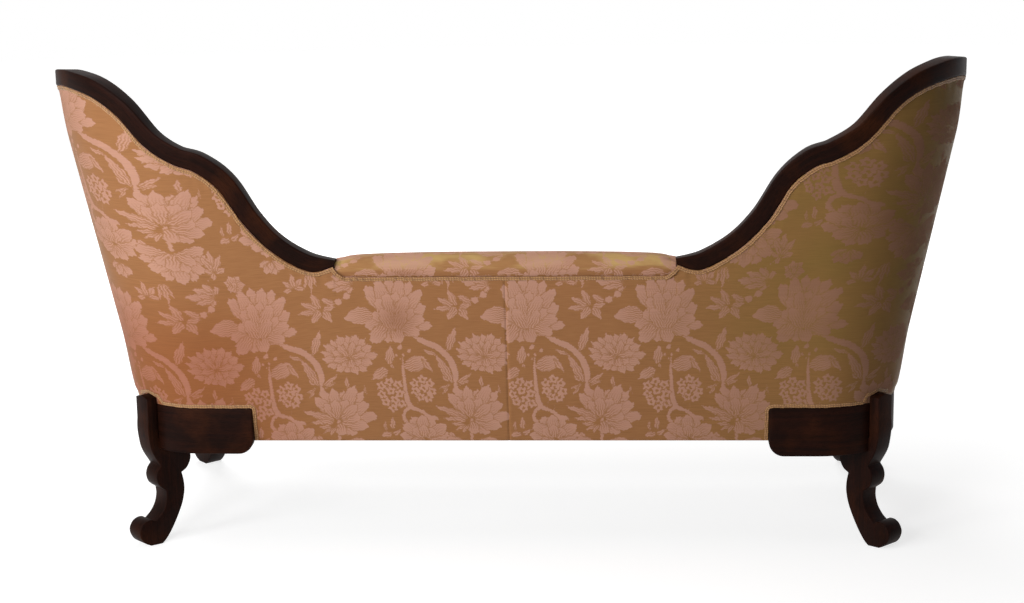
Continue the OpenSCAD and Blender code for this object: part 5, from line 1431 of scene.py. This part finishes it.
for side, tag in SIDES:
    for where, ends, diagonal in (("rear", (BLOCK_BACK_END, BLOCK_SIDE_END), REAR_LEG_S),
                                  ("front", (FRONT_BLOCK_SIDE_END, FRONT_BLOCK_END), FRONT_LEG_S)):
        s, z = block_path(*ends, diagonal)
        lift = 0.4 + puff(s, z, top_z(side * s), side) * (where == "rear")
        braid(f"{where}_block_braid_{tag}", body(side * s, z, lift), outward_at(side * s),
              f"{where}_block_gimp_{tag}")

# %% [markdown]
# ## Dust cover
# A sheet of black cambric closes the bottom, tacked to the rails' undersides and cut back at the legs. It
# sags a little between its edges. It is made of closed rings round the plan, drawn in to a line along the
# middle.

# %% Dust cover
DUST_IN, DUST_Z, DUST_SAG = 7 + 31 / 2, 214.2, 5


def dust_place(u, v):
    half = np.abs(u * 2 - 1)
    s = (1 - half) * S_MIDDLE
    side = np.where(u < 0.5, 1.0, -1.0)
    cut = np.zeros_like(s)
    for diagonal in (REAR_LEG_S, FRONT_LEG_S):
        cut += (CORNER_R - DUST_IN - LEG_IN_R + 5) * smooth((46 - np.abs(s - diagonal)) / 12)
    point = body(s, np.full_like(s, RAIL_Z), -DUST_IN - cut)
    middle_x = np.clip(point[:, 0], -BACK_HALF, BACK_HALF) * 0.9
    x = point[:, 0] + (middle_x - point[:, 0]) * v
    y = point[:, 1] + (Y_MIDDLE - point[:, 1]) * v
    return np.column_stack([side * x, y, DUST_Z - DUST_SAG * np.sin(np.clip(v, 0, 1) * math.pi / 2) ** 1.5])


dust = grid_piece("dust_cover_cloth", 240, 12, dust_place)
weld(dust)
edit(dust, (bpy.ops.mesh.normals_make_consistent, {"inside": False}))
if sum(p.normal.z * p.area for p in dust.data.polygons) > 0:
    edit(dust, (bpy.ops.mesh.flip_normals, {}))
finish_piece(dust, cambric, "dust_cover", smooth_angle=80)

# %% [markdown]
# ## Floor, light and background
# The couch stands in a white studio. The floor and the world show white to the camera. The floor is bright in
# reflections too, and the world is mirrored as a grey room that is cooler at the camera's right and white
# beyond the couch. Two soft lamps stand at the camera's left, so the light falls off towards the right end as
# in the photograph. A soft box hangs above, and one more lamp lights the seat's side. That lamp isn't
# mirrored, so that it makes no bright spot on the crest. The world adds a weak even light.

# %% Floor
bpy.ops.mesh.primitive_circle_add(vertices=64, radius=12, fill_type="NGON", location=(0, 0, 0))
floor = bpy.context.object
floor.name = "floor"
floor_material, tree = new_material("floor_white")
path = add(tree, "LightPath")
seen = add(tree, "Math", {0: path.outputs["Is Camera Ray"], 1: path.outputs["Is Glossy Ray"]},
           operation="MAXIMUM").outputs[0]
seen_too = add(tree, "Math", {0: seen, 1: path.outputs["Is Transmission Ray"]},
               operation="MAXIMUM").outputs[0]
lit = add(tree, "BsdfDiffuse", {"Color": paint("#c9c9c9")})
spot = add(tree, "NewGeometry")
away = add(tree, "VectorMath", {0: spot.outputs["Position"]}, operation="LENGTH")
glow = add(tree, "MapRange", {0: away.outputs["Value"], 1: 0.9, 2: 3.0, 3: 0.74, 4: 1.0}).outputs[0]
white = add(tree, "Emission", {"Color": (1, 1, 1, 1), "Strength": glow})
pale = add(tree, "BsdfDiffuse", {"Color": paint("#b4b4b4")})
bright = add(tree, "AddShader", {0: white.outputs[0], 1: pale.outputs[0]})
floor_mix = add(tree, "MixShader", {0: seen_too, 1: lit.outputs[0], 2: bright.outputs[0]})
# From below the floor is clear, so that the underside can be looked at
clear = add(tree, "BsdfTransparent")
floor_sides = add(tree, "MixShader", {0: spot.outputs["Backfacing"], 1: floor_mix.outputs[0],
                                      2: clear.outputs[0]})
add(tree, "OutputMaterial", {"Surface": floor_sides.outputs[0]})
floor.data.materials.append(floor_material)

# %% World
world = bpy.data.worlds.new("studio")
scene.world = world
world.use_nodes = True
tree = world.node_tree
tree.nodes.clear()
path = add(tree, "LightPath")
mirrored_rays = add(tree, "Math", {0: path.outputs["Is Glossy Ray"], 1: path.outputs["Is Transmission Ray"]},
                    operation="MAXIMUM").outputs[0]
place = add(tree, "TexCoord")
place_parts = add(tree, "SeparateXYZ", {0: place.outputs["Generated"]})
to_right = add(tree, "MapRange", {0: place_parts.outputs[0], 1: 0.0, 2: -0.5}).outputs[0]
mirrored_sky = add(tree, "Mix", {0: to_right, 6: (0.5, 0.5, 0.5, 1), 7: (0.4, 0.47, 0.57, 1)},
                   data_type="RGBA").outputs[2]
to_front = add(tree, "MapRange", {0: place_parts.outputs[1], 1: -0.3, 2: -0.9}).outputs[0]
mirrored_backdrop = add(tree, "Mix", {0: to_front, 6: mirrored_sky, 7: (1, 1, 1, 1)},
                        data_type="RGBA").outputs[2]
level = add(tree, "Mix", {0: mirrored_rays, 6: (0.08, 0.08, 0.08, 1), 7: mirrored_backdrop},
            data_type="RGBA").outputs[2]
level_mix = add(tree, "Mix", {0: path.outputs["Is Camera Ray"], 6: level, 7: (1, 1, 1, 1)},
                data_type="RGBA").outputs[2]
sky = add(tree, "Background", {"Color": level_mix, "Strength": 1.0})
add(tree, "OutputWorld", {"Surface": sky.outputs[0]})


# %% Lamps


def soft_lamp(name, place, target, size, power, mirrored=True):
    bpy.ops.object.light_add(type="AREA", location=place)
    lamp = bpy.context.object
    lamp.name = name
    lamp.data.shape = "RECTANGLE"
    lamp.data.size, lamp.data.size_y = size
    lamp.data.energy = power
    lamp.visible_glossy = mirrored
    lamp.rotation_euler = (Vector(target) - Vector(place)).to_track_quat("-Z", "Y").to_euler()


soft_lamp("key_lamp", (3.0, 2.6, 1.8), (0.2, 0, 0.5), (1.4, 1.4), 65)
soft_lamp("near_lamp", (1.2, 3.0, 1.6), (0.2, 0, 0.5), (1.2, 1.0), 55)
soft_lamp("top_box", (0.2, 0.1, 3.2), (0, 0, 0.5), (3.0, 1.4), 22)
soft_lamp("room_lamp", (1.2, -3.4, 2.4), (0, 0, 0.5), (2.4, 1.8), 120, mirrored=False)
